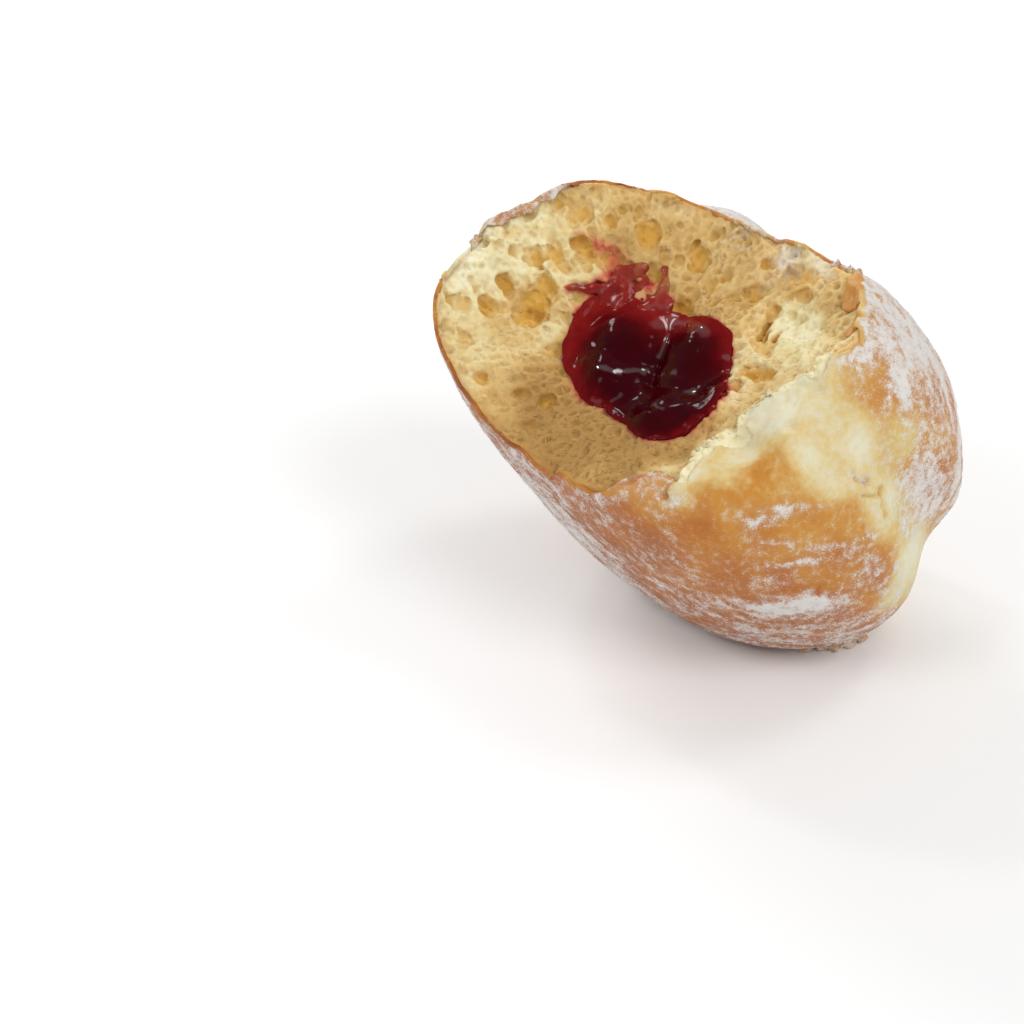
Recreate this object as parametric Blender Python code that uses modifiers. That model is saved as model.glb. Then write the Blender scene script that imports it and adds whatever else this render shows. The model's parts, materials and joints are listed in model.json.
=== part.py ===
"""A jelly-filled doughnut, torn open at one end, at its real size (metres, +Z up).

The doughnut is modelled upright about its own centre: X runs along its long side, Y across it and Z from
the lower browned cap to the upper one. A quarter of it is torn away towards -X and -Y, down to the jelly.
Then it is tipped over onto the rounded edge that it rests on, pressed flat a little there, and set down
with the bottom centre of its box at the origin.
"""

import math

import bpy
from mathutils import Euler, Matrix, Vector

MODEL_NAME = "jelly_filled_doughnut"

# Driving dimensions of the whole doughnut, before it was torn
LENGTH = 0.0865
WIDTH = 0.0740
THICKNESS = 0.0590

# Its turned outline: 2 is an ellipse, and more is boxier
OUTLINE_POWER = 2.25
OUTLINE_POINTS = 34
TURN_STEPS = 64

# The pale waist between the caps, which slopes along the doughnut
WAIST_DEPTH = 0.0032
WAIST_SIDE_SHARE = 0.55  # its depth half way along the long sides, as a share of that at the ends
WAIST_HALF_HEIGHT = 0.0065
WAIST_HEIGHT = -0.0010
WAIST_SLOPE = 0.22

# Fuller and leaner places: direction from the centre, height of the swelling, and its half width
SWELLS = (
    (Vector((0.50, 0.00, 0.87)), 0.0024, math.radians(34)),
    (Vector((0.98, 0.00, -0.20)), 0.0010, math.radians(16)),
    (Vector((-0.66, 0.00, 0.75)), -0.0060, math.radians(38)),
    (Vector((-0.88, 0.00, -0.47)), 0.0046, math.radians(26)),
    (Vector((0.30, 0.00, -0.95)), -0.0014, math.radians(34)),
)
UNEVENNESS = 0.0022
UNEVENNESS_SIZE = 0.030

# The tear: a rounded hollow through the thickness, with a lumpy wall
TEAR_RADIUS = 0.0450
TEAR_STRETCH = 1.6  # its height, from cap to cap, as a share of its width
TEAR_DIRECTION = math.radians(231.5)  # from +X towards +Y, seen from the upper cap
TEAR_DISTANCE = 0.0560  # from the doughnut's centre to the hollow's
TEAR_LUMP = 0.0042
TEAR_LUMP_SIZE = 0.0085
TEAR_SWELL = 0.0060
TEAR_SWELL_SIZE = 0.024

# The largest bubbles that the tear opened: middle and radius of each
BUBBLES = (
    (Vector((-0.0309, 0.0022, -0.0088)), 0.0030),
    (Vector((-0.0360, 0.0000, 0.0071)), 0.0025),
    (Vector((-0.0255, -0.0020, 0.0118)), 0.0024),
    (Vector((-0.0160, -0.0070, 0.0092)), 0.0052),
    (Vector((-0.0040, -0.0202, 0.0150)), 0.0088),
)

# The jelly, which fills the middle and shows at the tear
JELLY_LENGTH = 0.0350
JELLY_DEPTH = 0.0240
JELLY_HEIGHT = 0.0290
JELLY_CENTRE = Vector((-0.0076, -0.0016, -0.0044))
JELLY_LUMP = 0.0030
JELLY_LUMP_SIZE = 0.0090
GAP = 0.0003  # between the jelly and the crumb around it

# How it lies: turns about X, then Y, then Z
LIE = Euler((math.radians(-49.3), math.radians(37.7), math.radians(-26.6)))
PRESSED_FLAT = 0.0033  # how much of the rounded edge is pressed away where it rests

CRUST_COLOUR = (0.52, 0.27, 0.10, 1.0)
JELLY_COLOUR = (0.10, 0.002, 0.006, 1.0)


def clear_scene():
    for old in list(bpy.data.objects):
        bpy.data.objects.remove(old, do_unlink=True)


def new_collection(name):
    collection = bpy.data.collections.new(name)
    bpy.context.scene.collection.children.link(collection)
    return collection


def new_material(name, colour, roughness):
    material = bpy.data.materials.new(name)
    material.use_nodes = True
    shader = material.node_tree.nodes["Principled BSDF"]
    shader.inputs["Base Color"].default_value = colour
    shader.inputs["Roughness"].default_value = roughness
    shader.inputs["Metallic"].default_value = 0.0
    material.diffuse_color = colour
    return material


def add_object(name, mesh, collection):
    item = bpy.data.objects.new(name, mesh)
    collection.objects.link(item)
    return item


def apply_modifiers(item):
    """Give the object the mesh that its modifiers make, and drop them."""
    bpy.context.view_layer.update()
    graph = bpy.context.evaluated_depsgraph_get()
    item.data = bpy.data.meshes.new_from_object(item.evaluated_get(graph))
    item.modifiers.clear()


def hide_cutter(cutter):
    cutter.hide_render = True
    cutter.display_type = "WIRE"


def add_lumps(item, name, height, size):
    """Raise and lower the surface by up to half the height, in soft lumps of the given size."""
    pattern = bpy.data.textures.new(name, "CLOUDS")
    pattern.noise_scale = size
    pattern.noise_depth = 1
    lumps = item.modifiers.new(name, "DISPLACE")
    lumps.texture = pattern
    lumps.texture_coords = "LOCAL"
    lumps.mid_level = 0.5
    lumps.strength = height


def cut(item, cutter):
    difference = item.modifiers.new(cutter.name, "BOOLEAN")
    difference.operation = "DIFFERENCE"
    difference.solver = "EXACT"
    difference.object = cutter


def outline_radius(height_share):
    """The radius at a height, both as shares of the half length and the half thickness."""
    return (1.0 - abs(height_share) ** OUTLINE_POWER) ** (1.0 / OUTLINE_POWER)


def outline_mesh():
    """The outer side of the turned outline, from the upper pole down to the lower one."""
    points = []
    for step in range(OUTLINE_POINTS + 1):
        height_share = math.cos(math.pi * step / OUTLINE_POINTS)
        radius = outline_radius(height_share) * LENGTH / 2
        points.append((radius, 0.0, height_share * THICKNESS / 2))
    edges = [(step, step + 1) for step in range(OUTLINE_POINTS)]
    mesh = bpy.data.meshes.new("outline")
    mesh.from_pydata(points, edges, [])
    return mesh


def swell_at(place):
    """How far the surface stands out at a place, from all the swellings together."""
    total = 0.0
    for direction, height, half_width in SWELLS:
        away = place.angle(direction)
        total += height * math.exp(-((away / half_width) ** 2))
    return total


def shape_dough(mesh):
    """Make the turned solid oval, swell it unevenly and pinch in its waist."""
    for vertex in mesh.vertices:
        place = vertex.co.copy()
        place.y *= WIDTH / LENGTH
        place += place.normalized() * swell_at(place)
        waist = WAIST_HEIGHT + WAIST_SLOPE * place.x
        nearness = math.exp(-(((place.z - waist) / WAIST_HALF_HEIGHT) ** 2))
        sideways = Vector((place.x, place.y, 0.0)).normalized()
        share = WAIST_SIDE_SHARE + (1.0 - WAIST_SIDE_SHARE) * abs(sideways.x)
        vertex.co = place - sideways * WAIST_DEPTH * share * nearness


def make_dough(collection):
    dough = add_object("dough", outline_mesh(), collection)
    turn = dough.modifiers.new("turn", "SCREW")
    turn.steps = TURN_STEPS
    turn.render_steps = TURN_STEPS
    turn.use_merge_vertices = True
    turn.merge_threshold = 0.00001
    apply_modifiers(dough)
    shape_dough(dough.data)
    add_lumps(dough, "uneven_rise", UNEVENNESS, UNEVENNESS_SIZE)
    apply_modifiers(dough)
    return dough


def make_ball(name, radius, detail, collection):
    bpy.ops.mesh.primitive_ico_sphere_add(subdivisions=detail, radius=radius)
    ball = bpy.context.active_object
    ball.name = name
    for holder in list(ball.users_collection):
        holder.objects.unlink(ball)
    collection.objects.link(ball)
    return ball


def make_tear(collection):
    """The torn-away space, as a lumpy ball."""
    tear = make_ball("tear", TEAR_RADIUS, 5, collection)
    outward = Vector((math.cos(TEAR_DIRECTION), math.sin(TEAR_DIRECTION), 0.0))
    stretched = Matrix.Diagonal((1.0, 1.0, TEAR_STRETCH, 1.0))
    tear.data.transform(Matrix.Translation(outward * TEAR_DISTANCE) @ stretched)
    add_lumps(tear, "torn_swells", TEAR_SWELL, TEAR_SWELL_SIZE)
    add_lumps(tear, "torn_lumps", TEAR_LUMP, TEAR_LUMP_SIZE)
    apply_modifiers(tear)
    return tear


def make_bubbles(collection):
    bubbles = []
    for place, radius in BUBBLES:
        bubble = make_ball("bubble", radius, 3, collection)
        bubble.data.transform(Matrix.Translation(place))
        bubbles.append(bubble)
    return bubbles


def make_jelly(collection):
    """A lobed blob whose flat side faces the tear."""
    jelly = make_ball("jelly", 0.5, 4, collection)
    sizes = Matrix.Diagonal((JELLY_DEPTH, JELLY_LENGTH, JELLY_HEIGHT, 1.0))
    facing = Matrix.Rotation(TEAR_DIRECTION, 4, "Z")
    jelly.data.transform(Matrix.Translation(JELLY_CENTRE) @ facing @ sizes)
    add_lumps(jelly, "jelly_lobes", JELLY_LUMP, JELLY_LUMP_SIZE)
    apply_modifiers(jelly)
    return jelly


def make_pocket(jelly, collection):
    """The jelly's own shape, swollen by the gap."""
    pocket = add_object("jelly_pocket", jelly.data.copy(), collection)
    swollen = pocket.modifiers.new("gap", "DISPLACE")
    swollen.mid_level = 0.0
    swollen.strength = GAP
    apply_modifiers(pocket)
    return pocket


def lowest_point(item):
    return min((vertex.co for vertex in item.data.vertices), key=lambda place: place.z)


def make_floor_cutter(lowest, collection):
    """A slab whose top cuts the rounded edge off flat."""
    bpy.ops.mesh.primitive_cube_add(size=LENGTH)
    slab = bpy.context.active_object
    slab.name = "floor_cutter"
    for holder in list(slab.users_collection):
        holder.objects.unlink(slab)
    collection.objects.link(slab)
    top = lowest.z + PRESSED_FLAT
    slab.data.transform(Matrix.Translation((lowest.x, lowest.y, top - LENGTH / 2)))
    return slab


def set_down(items, base):
    """Move the pieces together, so that the bottom centre of the base's box is at the origin."""
    corners = [Vector(corner) for corner in base.bound_box]
    low = Vector([min(corner[axis] for corner in corners) for axis in range(3)])
    high = Vector([max(corner[axis] for corner in corners) for axis in range(3)])
    middle = (low + high) / 2
    for item in items:
        item.data.transform(Matrix.Translation((-middle.x, -middle.y, -low.z)))


def finish(item, material):
    item.data.materials.clear()
    item.data.materials.append(material)
    item.data.shade_smooth()


def main():
    clear_scene()
    model = new_collection(MODEL_NAME)
    cutters = new_collection("cutters")
    dough = make_dough(model)
    jelly = make_jelly(model)
    tear = make_tear(cutters)
    pocket = make_pocket(jelly, cutters)
    hollows = [tear, pocket] + make_bubbles(cutters)
    for hollow in hollows:
        cut(dough, hollow)
    apply_modifiers(dough)
    pieces = [dough, jelly] + hollows
    for piece in pieces:
        piece.data.transform(LIE.to_matrix().to_4x4())
    slab = make_floor_cutter(lowest_point(dough), cutters)
    cut(dough, slab)
    apply_modifiers(dough)
    set_down(pieces + [slab], dough)
    for cutter in hollows + [slab]:
        hide_cutter(cutter)
    finish(dough, new_material("crust", CRUST_COLOUR, 0.75))
    finish(jelly, new_material("jelly", JELLY_COLOUR, 0.15))


main()
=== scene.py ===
# %% [markdown]
# # A torn jelly-filled doughnut
#
# The real thing is a ball of yeast dough, fried first on one side and then on the other. That leaves two
# browned caps and, between them, a pale waist that stayed above the oil. It is filled with jelly, rolled in
# powdered sugar and torn open. We load the measured model as a frame and make the looks around it.

# %% Load the frame
import itertools
import json
import math

import bpy
import numpy as np
from mathutils import Euler, Matrix, Vector
from mathutils.bvhtree import BVHTree
from mathutils.kdtree import KDTree

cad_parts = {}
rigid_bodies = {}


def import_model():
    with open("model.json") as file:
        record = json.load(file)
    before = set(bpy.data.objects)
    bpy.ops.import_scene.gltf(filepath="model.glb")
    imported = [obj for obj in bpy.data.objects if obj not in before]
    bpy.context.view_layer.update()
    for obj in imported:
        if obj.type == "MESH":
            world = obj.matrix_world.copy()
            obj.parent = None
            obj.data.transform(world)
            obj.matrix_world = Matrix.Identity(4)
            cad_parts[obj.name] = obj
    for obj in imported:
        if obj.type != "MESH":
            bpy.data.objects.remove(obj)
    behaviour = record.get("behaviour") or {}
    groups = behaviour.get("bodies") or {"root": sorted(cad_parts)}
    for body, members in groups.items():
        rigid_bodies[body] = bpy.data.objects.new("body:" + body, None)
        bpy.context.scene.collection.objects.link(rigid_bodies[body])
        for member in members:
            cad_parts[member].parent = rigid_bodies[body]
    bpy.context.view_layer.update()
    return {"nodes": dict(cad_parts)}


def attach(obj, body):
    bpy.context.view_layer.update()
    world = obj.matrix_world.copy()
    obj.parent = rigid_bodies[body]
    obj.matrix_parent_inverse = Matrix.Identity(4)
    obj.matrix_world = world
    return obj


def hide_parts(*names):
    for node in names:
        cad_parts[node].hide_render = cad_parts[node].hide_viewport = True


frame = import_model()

MM = 0.001
print("frame nodes:", sorted(frame["nodes"]))

# %% [markdown]
# ## The doughnut's own directions
#
# It lies tipped over on a rounded edge, which is awkward to model in. So every piece is made with the
# doughnut upright about its own centre: X along it, Z up through the top cap, and the tear facing -X and
# -Y. The finished mesh is then turned and moved to where the frame has it. These are the same turns as in
# the frame.

# %% How it lies
LIE = Euler((math.radians(-49.3), math.radians(37.7), math.radians(-26.6)))
MIDDLE = Vector((1.8518, 0.5031, 35.1271)) * MM
UPRIGHT_TO_PLACE = Matrix.Translation(MIDDLE) @ LIE.to_matrix().to_4x4()
print("upright Z in the frame:", [round(value, 3) for value in LIE.to_matrix().col[2]])

# %% [markdown]
# ## Shaping by rule
#
# A modeller would push dough about with a sculpting brush. Here the same pushes are written down. One
# helper reads all vertices as an array and another writes them back. Masks from 0 to 1 say how much each
# vertex is moved, and smooth noise, round spots and straight strokes are the brushes.

# %% Helpers for meshes and masks

def deselect_all():
    for item in bpy.context.selected_objects:
        item.select_set(False)


def pick(item):
    """Make one object the selected and active one."""
    deselect_all()
    item.select_set(True)
    bpy.context.view_layer.objects.active = item


def apply_all(item):
    """Apply the object's modifiers, from the first to the last."""
    pick(item)
    for modifier in list(item.modifiers):
        bpy.ops.object.modifier_apply(modifier=modifier.name)


def points_of(item):
    flat = np.empty(len(item.data.vertices) * 3, np.float32)
    item.data.vertices.foreach_get("co", flat)
    return flat.reshape(-1, 3).astype(float)


def move_points(item, points):
    item.data.vertices.foreach_set("co", points.astype(np.float32).ravel())
    item.data.update()


def normals_of(item):
    flat = np.empty(len(item.data.vertices) * 3, np.float32)
    item.data.vertex_normals.foreach_get("vector", flat)
    return flat.reshape(-1, 3).astype(float)


def triangles_in(item):
    return sum(len(face.vertices) - 2 for face in item.data.polygons)


def smooth_step(values, low, high):
    share = np.clip((values - low) / (high - low), 0.0, 1.0)
    return share * share * (3.0 - 2.0 * share)


def soft_noise(points, size, seed):
    """Smooth noise from -1 to 1 that changes over about one size, the same on every run."""
    grid = points / size + seed * 17.31
    cell = np.floor(grid).astype(np.int64)
    share = grid - cell
    share = share * share * (3.0 - 2.0 * share)
    total = np.zeros(len(points))
    for corner in itertools.product((0, 1), repeat=3):
        mixed = (cell + corner) @ np.array((73856093, 19349663, 83492791)) + seed * 7919
        mixed = (mixed ^ (mixed >> 13)) * 1274126177
        mixed = (mixed ^ (mixed >> 16)) & 0xFFFF
        weight = np.prod(np.where(corner, share, 1.0 - share), axis=1)
        total += (mixed / 32767.5 - 1.0) * weight
    return total


def spread_from(points, values, reach):
    """Spread values given at a few places smoothly over all points."""
    total = np.zeros(len(points))
    weights = np.full(len(points), 1e-9)
    for place, value in values:
        away = np.sum((points - np.array(place) * MM) ** 2, axis=1) / reach**2
        weight = 1.0 / (0.05 + away) ** 2
        total += value * weight
        weights += weight
    return total / weights


def streaks(points, along, long, wide, seed):
    """Noise drawn out along one direction."""
    along = np.array(along) / np.linalg.norm(along)
    drawn = points - np.outer(points @ along, along) * (1.0 - wide / long)
    return soft_noise(drawn, wide, seed)


def stroke(points, start, end):
    """How far points lie from a straight stroke, and their share of the way along it."""
    start, step = np.array(start) * MM, (np.array(end) - np.array(start)) * MM
    along = np.clip((points - start) @ step / (step @ step), 0.0, 1.0)
    return np.linalg.norm(points - start - along[:, None] * step, axis=1), along


def away_from(points, place):
    """How far points lie from a place given in millimetres."""
    return np.linalg.norm(points - np.array(place) * MM, axis=1)


def round_spot(points, place, half_width):
    """1 at the place, falling away softly over the half width in millimetres."""
    return soft_edge(away_from(points, place), half_width)


def soft_edge(away, half_width):
    """1 where away is nothing, falling off softly over the half width in millimetres."""
    return np.exp(-((away / (half_width * MM)) ** 2))


def put_attribute(item, name, values):
    attribute = item.data.attributes.new(name, "FLOAT", "POINT")
    attribute.data.foreach_set("value", np.asarray(values, np.float32))


def attribute_of(item, name):
    values = np.empty(len(item.data.vertices), np.float32)
    item.data.attributes[name].data.foreach_get("value", values)
    return values


def put_group(item, name, weights):
    """A vertex group with one weight for each vertex, rounded because a group is filled in batches."""
    group = item.vertex_groups.new(name=name)
    steps = np.round(np.clip(weights, 0.0, 1.0) * 20).astype(int)
    for step in range(1, 21):
        chosen = np.nonzero(steps == step)[0].tolist()
        if chosen:
            group.add(chosen, step / 20, "REPLACE")
    return group


# %% [markdown]
# ## The whole doughnut
#
# Before it was torn it was an oval bun. A UV sphere has its poles where the caps are, and its rows of
# latitude run along the waist, so it is a good start: each vertex is pushed out to the bun's outline, a few
# broad swellings make it uneven, and the waist is pinched in. The sizes are the frame's own. The sphere's
# faces are first put in a fixed order, so that every run gives the same doughnut.

# %% Model the whole doughnut
LENGTH = 86.5 * MM
WIDTH = 74.0 * MM
THICKNESS = 59.0 * MM
OUTLINE_POWER = 2.25
WAIST_DEPTH = 3.2 * MM
WAIST_SIDE_SHARE = 0.55
WAIST_HALF_HEIGHT = 6.5 * MM
WAIST_HEIGHT = -1.0 * MM
WAIST_SLOPE = 0.22
SWELLS = (  # direction, height and half width as an angle
    ((0.50, 0.00, 0.87), 2.4 * MM, math.radians(34)),
    ((0.98, 0.00, -0.20), 1.0 * MM, math.radians(16)),
    ((-0.66, 0.00, 0.75), -6.0 * MM, math.radians(38)),
    ((-0.88, 0.00, -0.47), 4.6 * MM, math.radians(26)),
    ((0.30, 0.00, -0.95), -1.4 * MM, math.radians(34)),
    ((-0.97, 0.05, -0.22), 3.0 * MM, math.radians(12)),
    ((-0.58, 0.16, 0.80), 4.4 * MM, math.radians(13)),
    ((-0.38, 0.16, 0.92), 1.6 * MM, math.radians(10)),
    ((-0.97, 0.20, 0.10), 1.6 * MM, math.radians(12)),
    ((-0.27, -0.10, 0.96), -1.0 * MM, math.radians(11)),
)


def bumps_at(points, bumps):
    """The sum of round bumps: each has a direction, a height and a half width as an angle."""
    directions = points / np.linalg.norm(points, axis=1, keepdims=True)
    total = np.zeros(len(points))
    for direction, height, half_width in bumps:
        towards = np.array(direction) / np.linalg.norm(direction)
        away = np.arccos(np.clip(directions @ towards, -1.0, 1.0))
        total += height * np.exp(-((away / half_width) ** 2))
    return total


def above_waist(points):
    return points[:, 2] - (WAIST_HEIGHT + WAIST_SLOPE * points[:, 0])


def add_clouds(item, name, height, size, group=""):
    """Displace the surface by soft lumps, up to half the height in and out."""
    pattern = bpy.data.textures.new(name, "CLOUDS")
    pattern.noise_scale = size
    pattern.noise_depth = 1
    lumps = item.modifiers.new(name, "DISPLACE")
    lumps.texture = pattern
    lumps.texture_coords = "LOCAL"
    lumps.mid_level = 0.5
    lumps.strength = height
    lumps.vertex_group = group


def put_in_order(item):
    """Give the mesh its faces in a fixed order, because a new UV sphere can have them in any."""
    loops = [list(face.vertices) for face in item.data.polygons]
    starts = [loop.index(min(loop)) for loop in loops]
    ordered = sorted(loop[start:] + loop[:start] for loop, start in zip(loops, starts))
    sorted_mesh = bpy.data.meshes.new(item.name)
    sorted_mesh.from_pydata([vertex.co[:] for vertex in item.data.vertices], [], ordered)
    item.data = sorted_mesh


deselect_all()
bpy.ops.mesh.primitive_uv_sphere_add(segments=180, ring_count=120, radius=1.0)
whole = bpy.context.active_object
whole.name = "whole"
put_in_order(whole)
sphere = points_of(whole)
share = np.clip(np.abs(sphere[:, 2]), 0.0, 1.0)
across = np.hypot(sphere[:, 0], sphere[:, 1])
grown = (1.0 - share**OUTLINE_POWER) ** (1.0 / OUTLINE_POWER) / np.maximum(across, 1e-9)
bun = sphere * np.array((LENGTH, WIDTH, THICKNESS)) / 2
bun[:, :2] *= np.where(across > 1e-6, grown, 1.0)[:, None]
bun += bun / np.linalg.norm(bun, axis=1, keepdims=True) * bumps_at(bun, SWELLS)[:, None]
sideways = bun * (1.0, 1.0, 0.0)
sideways /= np.maximum(np.linalg.norm(sideways, axis=1, keepdims=True), 1e-9)
pinch = WAIST_DEPTH * np.exp(-((above_waist(bun) / WAIST_HALF_HEIGHT) ** 2))
pinch *= WAIST_SIDE_SHARE + (1.0 - WAIST_SIDE_SHARE) * np.abs(sideways[:, 0])
move_points(whole, bun - sideways * pinch[:, None])
add_clouds(whole, "uneven_rise", 2.2 * MM, 30 * MM)
apply_all(whole)
skin = BVHTree.FromObject(whole, bpy.context.evaluated_depsgraph_get())
print("whole doughnut:", len(whole.data.vertices), "vertices")

# %% [markdown]
# ## Tearing it open
#
# Torn dough parts along a lumpy hollow. A tall ball, lumped by two Displace modifiers, is cut away with a
# Boolean. The cut leaves long thin faces, so a voxel remesh then gives the whole surface small even
# squares. For every vertex we keep two distances: down from the skin, and back from the torn face. The rim
# is where both are small.

# %% Tear it
TEAR_RADIUS = 45.0 * MM
TEAR_STRETCH = 1.6
TEAR_DIRECTION = math.radians(231.5)
TEAR_DISTANCE = 56.0 * MM
COARSE = 0.50 * MM


def nearest(tree, points):
    """For each point, how far a surface is, and which way that surface faces there."""
    far = np.empty(len(points))
    faces = np.empty((len(points), 3))
    for index, place in enumerate(points):
        found = tree.find_nearest(place)
        faces[index] = found[1]
        far[index] = found[3]
    return far, faces


def surface_of(item):
    return BVHTree.FromObject(item, bpy.context.evaluated_depsgraph_get())


def copy_of(item, name):
    """A copy with its own mesh."""
    copied = item.copy()
    copied.data = item.data.copy()
    copied.name = name
    bpy.context.scene.collection.objects.link(copied)
    return copied


def remesh(item, size):
    item.data.remesh_voxel_size = size
    pick(item)
    bpy.ops.object.voxel_remesh()


def join(items, main):
    """Join the items into the main one."""
    deselect_all()
    for item in (*items, main):
        item.select_set(True)
    bpy.context.view_layer.objects.active = main
    bpy.ops.object.join()


def keep_only(item, keep):
    """Delete the vertices that are not kept."""
    pick(item)
    bpy.ops.object.mode_set(mode="EDIT")
    bpy.ops.mesh.select_all(action="DESELECT")
    bpy.ops.object.mode_set(mode="OBJECT")
    item.data.vertices.foreach_set("select", ~keep)
    bpy.ops.object.mode_set(mode="EDIT")
    bpy.ops.mesh.delete(type="VERT")
    bpy.ops.object.mode_set(mode="OBJECT")


def smooth(item, rounds, group=""):
    """Average each vertex with its neighbours, a few rounds."""
    easing = item.modifiers.new("easing", "SMOOTH")
    easing.factor = 0.5
    easing.iterations = rounds
    easing.vertex_group = group
    apply_all(item)


deselect_all()
bpy.ops.mesh.primitive_ico_sphere_add(subdivisions=6, radius=TEAR_RADIUS)
tear = bpy.context.active_object
tear.name = "tear"
outward = np.array((math.cos(TEAR_DIRECTION), math.sin(TEAR_DIRECTION), 0.0))
tear_middle = outward * TEAR_DISTANCE
stretched = Matrix.Diagonal((1.0, 1.0, TEAR_STRETCH, 1.0))
tear.data.transform(Matrix.Translation(tear_middle) @ stretched)
add_clouds(tear, "torn_swells", 6.0 * MM, 24 * MM)
add_clouds(tear, "torn_lumps", 4.2 * MM, 8.5 * MM)
apply_all(tear)
tear_face = surface_of(tear)

bun = copy_of(whole, "bun")
cut = bun.modifiers.new("tear", "BOOLEAN")
cut.operation = "DIFFERENCE"
cut.solver = "EXACT"
cut.object = tear
apply_all(bun)
bpy.data.objects.remove(tear)
bpy.data.objects.remove(whole)
remesh(bun, COARSE)
smooth(bun, 2)
print("torn bun:", len(bun.data.vertices), "vertices")

# %% [markdown]
# ## The flap and the ragged rim
#
# In front of the jelly the skin was pulled in over the tear before it let go, so a soft pale flap rolls
# over the edge there. The rim under it is rounded by many rounds of the Smooth modifier, held to that place
# by a vertex group. All along the rim the skin parted in small steps, so the vertices near it are pushed on
# or pulled back along the skin by noise, with a few larger points and a notch in their own places. Last,
# the dough is flattened where it rests, and a torn lip is raised along the flap.

# %% Round the flap and roughen the rim
FLAP_ACROSS = np.array((0.45, -0.90, 0.0))
FLAP_START = 23.5 * MM
FLAP_MIDDLE_HEIGHT = -9.0 * MM
FLAP_BEND = 0.035 / MM
FLOOR_UP = np.array(LIE.to_matrix().transposed() @ Vector((0.0, 0.0, 1.0)))
SOFT_CONTACT = 1.5 * MM
FRONT_LIFT = 1.1 * MM
LIP_HEIGHT = 1.3
LIP_REACH = 1.7
RIM_POINTS = (  # place, how far the skin is pushed on, and half width
    ((-36.8, 0.7, 11.2), 1.6, 2.2),
    ((-28.3, -2.4, 17.8), 1.2, 2.0),
    ((-30.5, -1.9, 15.6), -1.5, 2.4),
    ((-3.3, -15.5, 23.0), 1.3, 1.8),
    ((-38.9, 0.9, -3.0), 1.2, 3.0),
    ((-36.0, 0.5, 13.5), 0.8, 1.2),
    ((3.5, -22.5, 21.5), 2.4, 4.2),
    ((-3.0, -15.9, 25.5), -1.4, 4.5),
    ((1.0, -21.5, 25.0), -1.8, 3.0),
    ((-44.3, 2.3, -8.2), -3.0, 2.2),
    ((-24.5, -1.5, 19.5), 1.4, 3.0),
)
ROUNDED = (((2.0, -23.5, -20.5), 4.5), ((5.5, -25.5, 18.5), 3.5))  # where the skin rolls in over the rim
DENTS = (  # where the skin has sunk in: place, how deep and half width
    ((-42.8, 3.5, 1.5), 1.3, 5.0),
    ((-46.0, 4.5, -7.0), 1.0, 3.0),
    ((-2.5, -16.0, 25.5), 1.4, 5.0),
)


def past_flap_edge(points):
    """How far each point lies past the flap's edge, away from the jelly."""
    bend = FLAP_BEND * (points[:, 2] - FLAP_MIDDLE_HEIGHT) ** 2
    ragged = 1.3 * soft_noise(points, 3.4 * MM, 24) + 0.7 * soft_noise(points, 1.2 * MM, 25)
    return points @ FLAP_ACROSS - FLAP_START - bend - ragged * MM


points = points_of(bun)
depth, skin_out = nearest(skin, points)
gap, _ = nearest(tear_face, points)
rim_near = 1.0 - smooth_step(np.maximum(depth, gap), 3.5 * MM, 8.0 * MM)
rounding = smooth_step(past_flap_edge(points), -3.0 * MM, 1.5 * MM)
for place, half_width in ROUNDED:
    rounding = np.maximum(rounding, round_spot(points, place, half_width))
put_group(bun, "flap", rim_near * rounding)
smooth(bun, 70, "flap")
bun.vertex_groups.clear()

points = points_of(bun)
along_skin = (tear_middle - points) * (1.0, 1.0, 0.0)
along_skin -= skin_out * np.sum(along_skin * skin_out, axis=1, keepdims=True)
along_skin /= np.linalg.norm(along_skin, axis=1, keepdims=True)
push = 1.5 * soft_noise(points, 3.2 * MM, 21) + 0.8 * soft_noise(points, 1.3 * MM, 22)
for place, how_far, half_width in RIM_POINTS:
    push += how_far * round_spot(points, place, half_width)
push *= 1.0 - smooth_step(np.maximum(depth, gap), 0.3 * MM, 3.2 * MM)
points += along_skin * (push * MM)[:, None]
for place, how_deep, half_width in DENTS:
    points -= skin_out * (how_deep * MM * round_spot(points, place, half_width))[:, None]

placed = points @ np.array(LIE.to_matrix().transposed()) + np.array(MIDDLE)
height = placed[:, 2] - FRONT_LIFT * smooth_step(-placed[:, 1], 8.0 * MM, 12.5 * MM)
low = (np.clip(height / SOFT_CONTACT, -1.0, 1.0) + 1.0) ** 2 / 4 * SOFT_CONTACT
points += FLOOR_UP * np.where(height < SOFT_CONTACT, low - height, 0.0)[:, None]
move_points(bun, points)

flap = past_flap_edge(points)
on_torn_side = smooth_step(depth - gap, -3.0 * MM, 0.5 * MM)
lip = smooth_step(flap, -1.3 * MM, 0.3 * MM) * (1.0 - smooth_step(flap, 1.0 * MM, 5.5 * MM)) * on_torn_side
lip *= 1.0 + 0.45 * soft_noise(points, 2.8 * MM, 57)
points += (normals_of(bun) * LIP_HEIGHT - FLAP_ACROSS * LIP_REACH) * (lip * MM)[:, None]
move_points(bun, points)
print("rim and flap:", int(np.count_nonzero(rim_near > 0.5)), "vertices near the rim")

# %% [markdown]
# ## Crumb and crust
#
# The bun is made as two pieces, as a baker sees it: the crumb inside, and the fried crust over it like a
# shell. Each then gets its faces where it needs them. The crumb starts as the whole bun, sunk a little
# where the crust will cover it. Its large hollows are pressed in first: a point inside a ball slides inward
# to the ball's far wall, which is quick and never leaves a hole.

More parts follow.
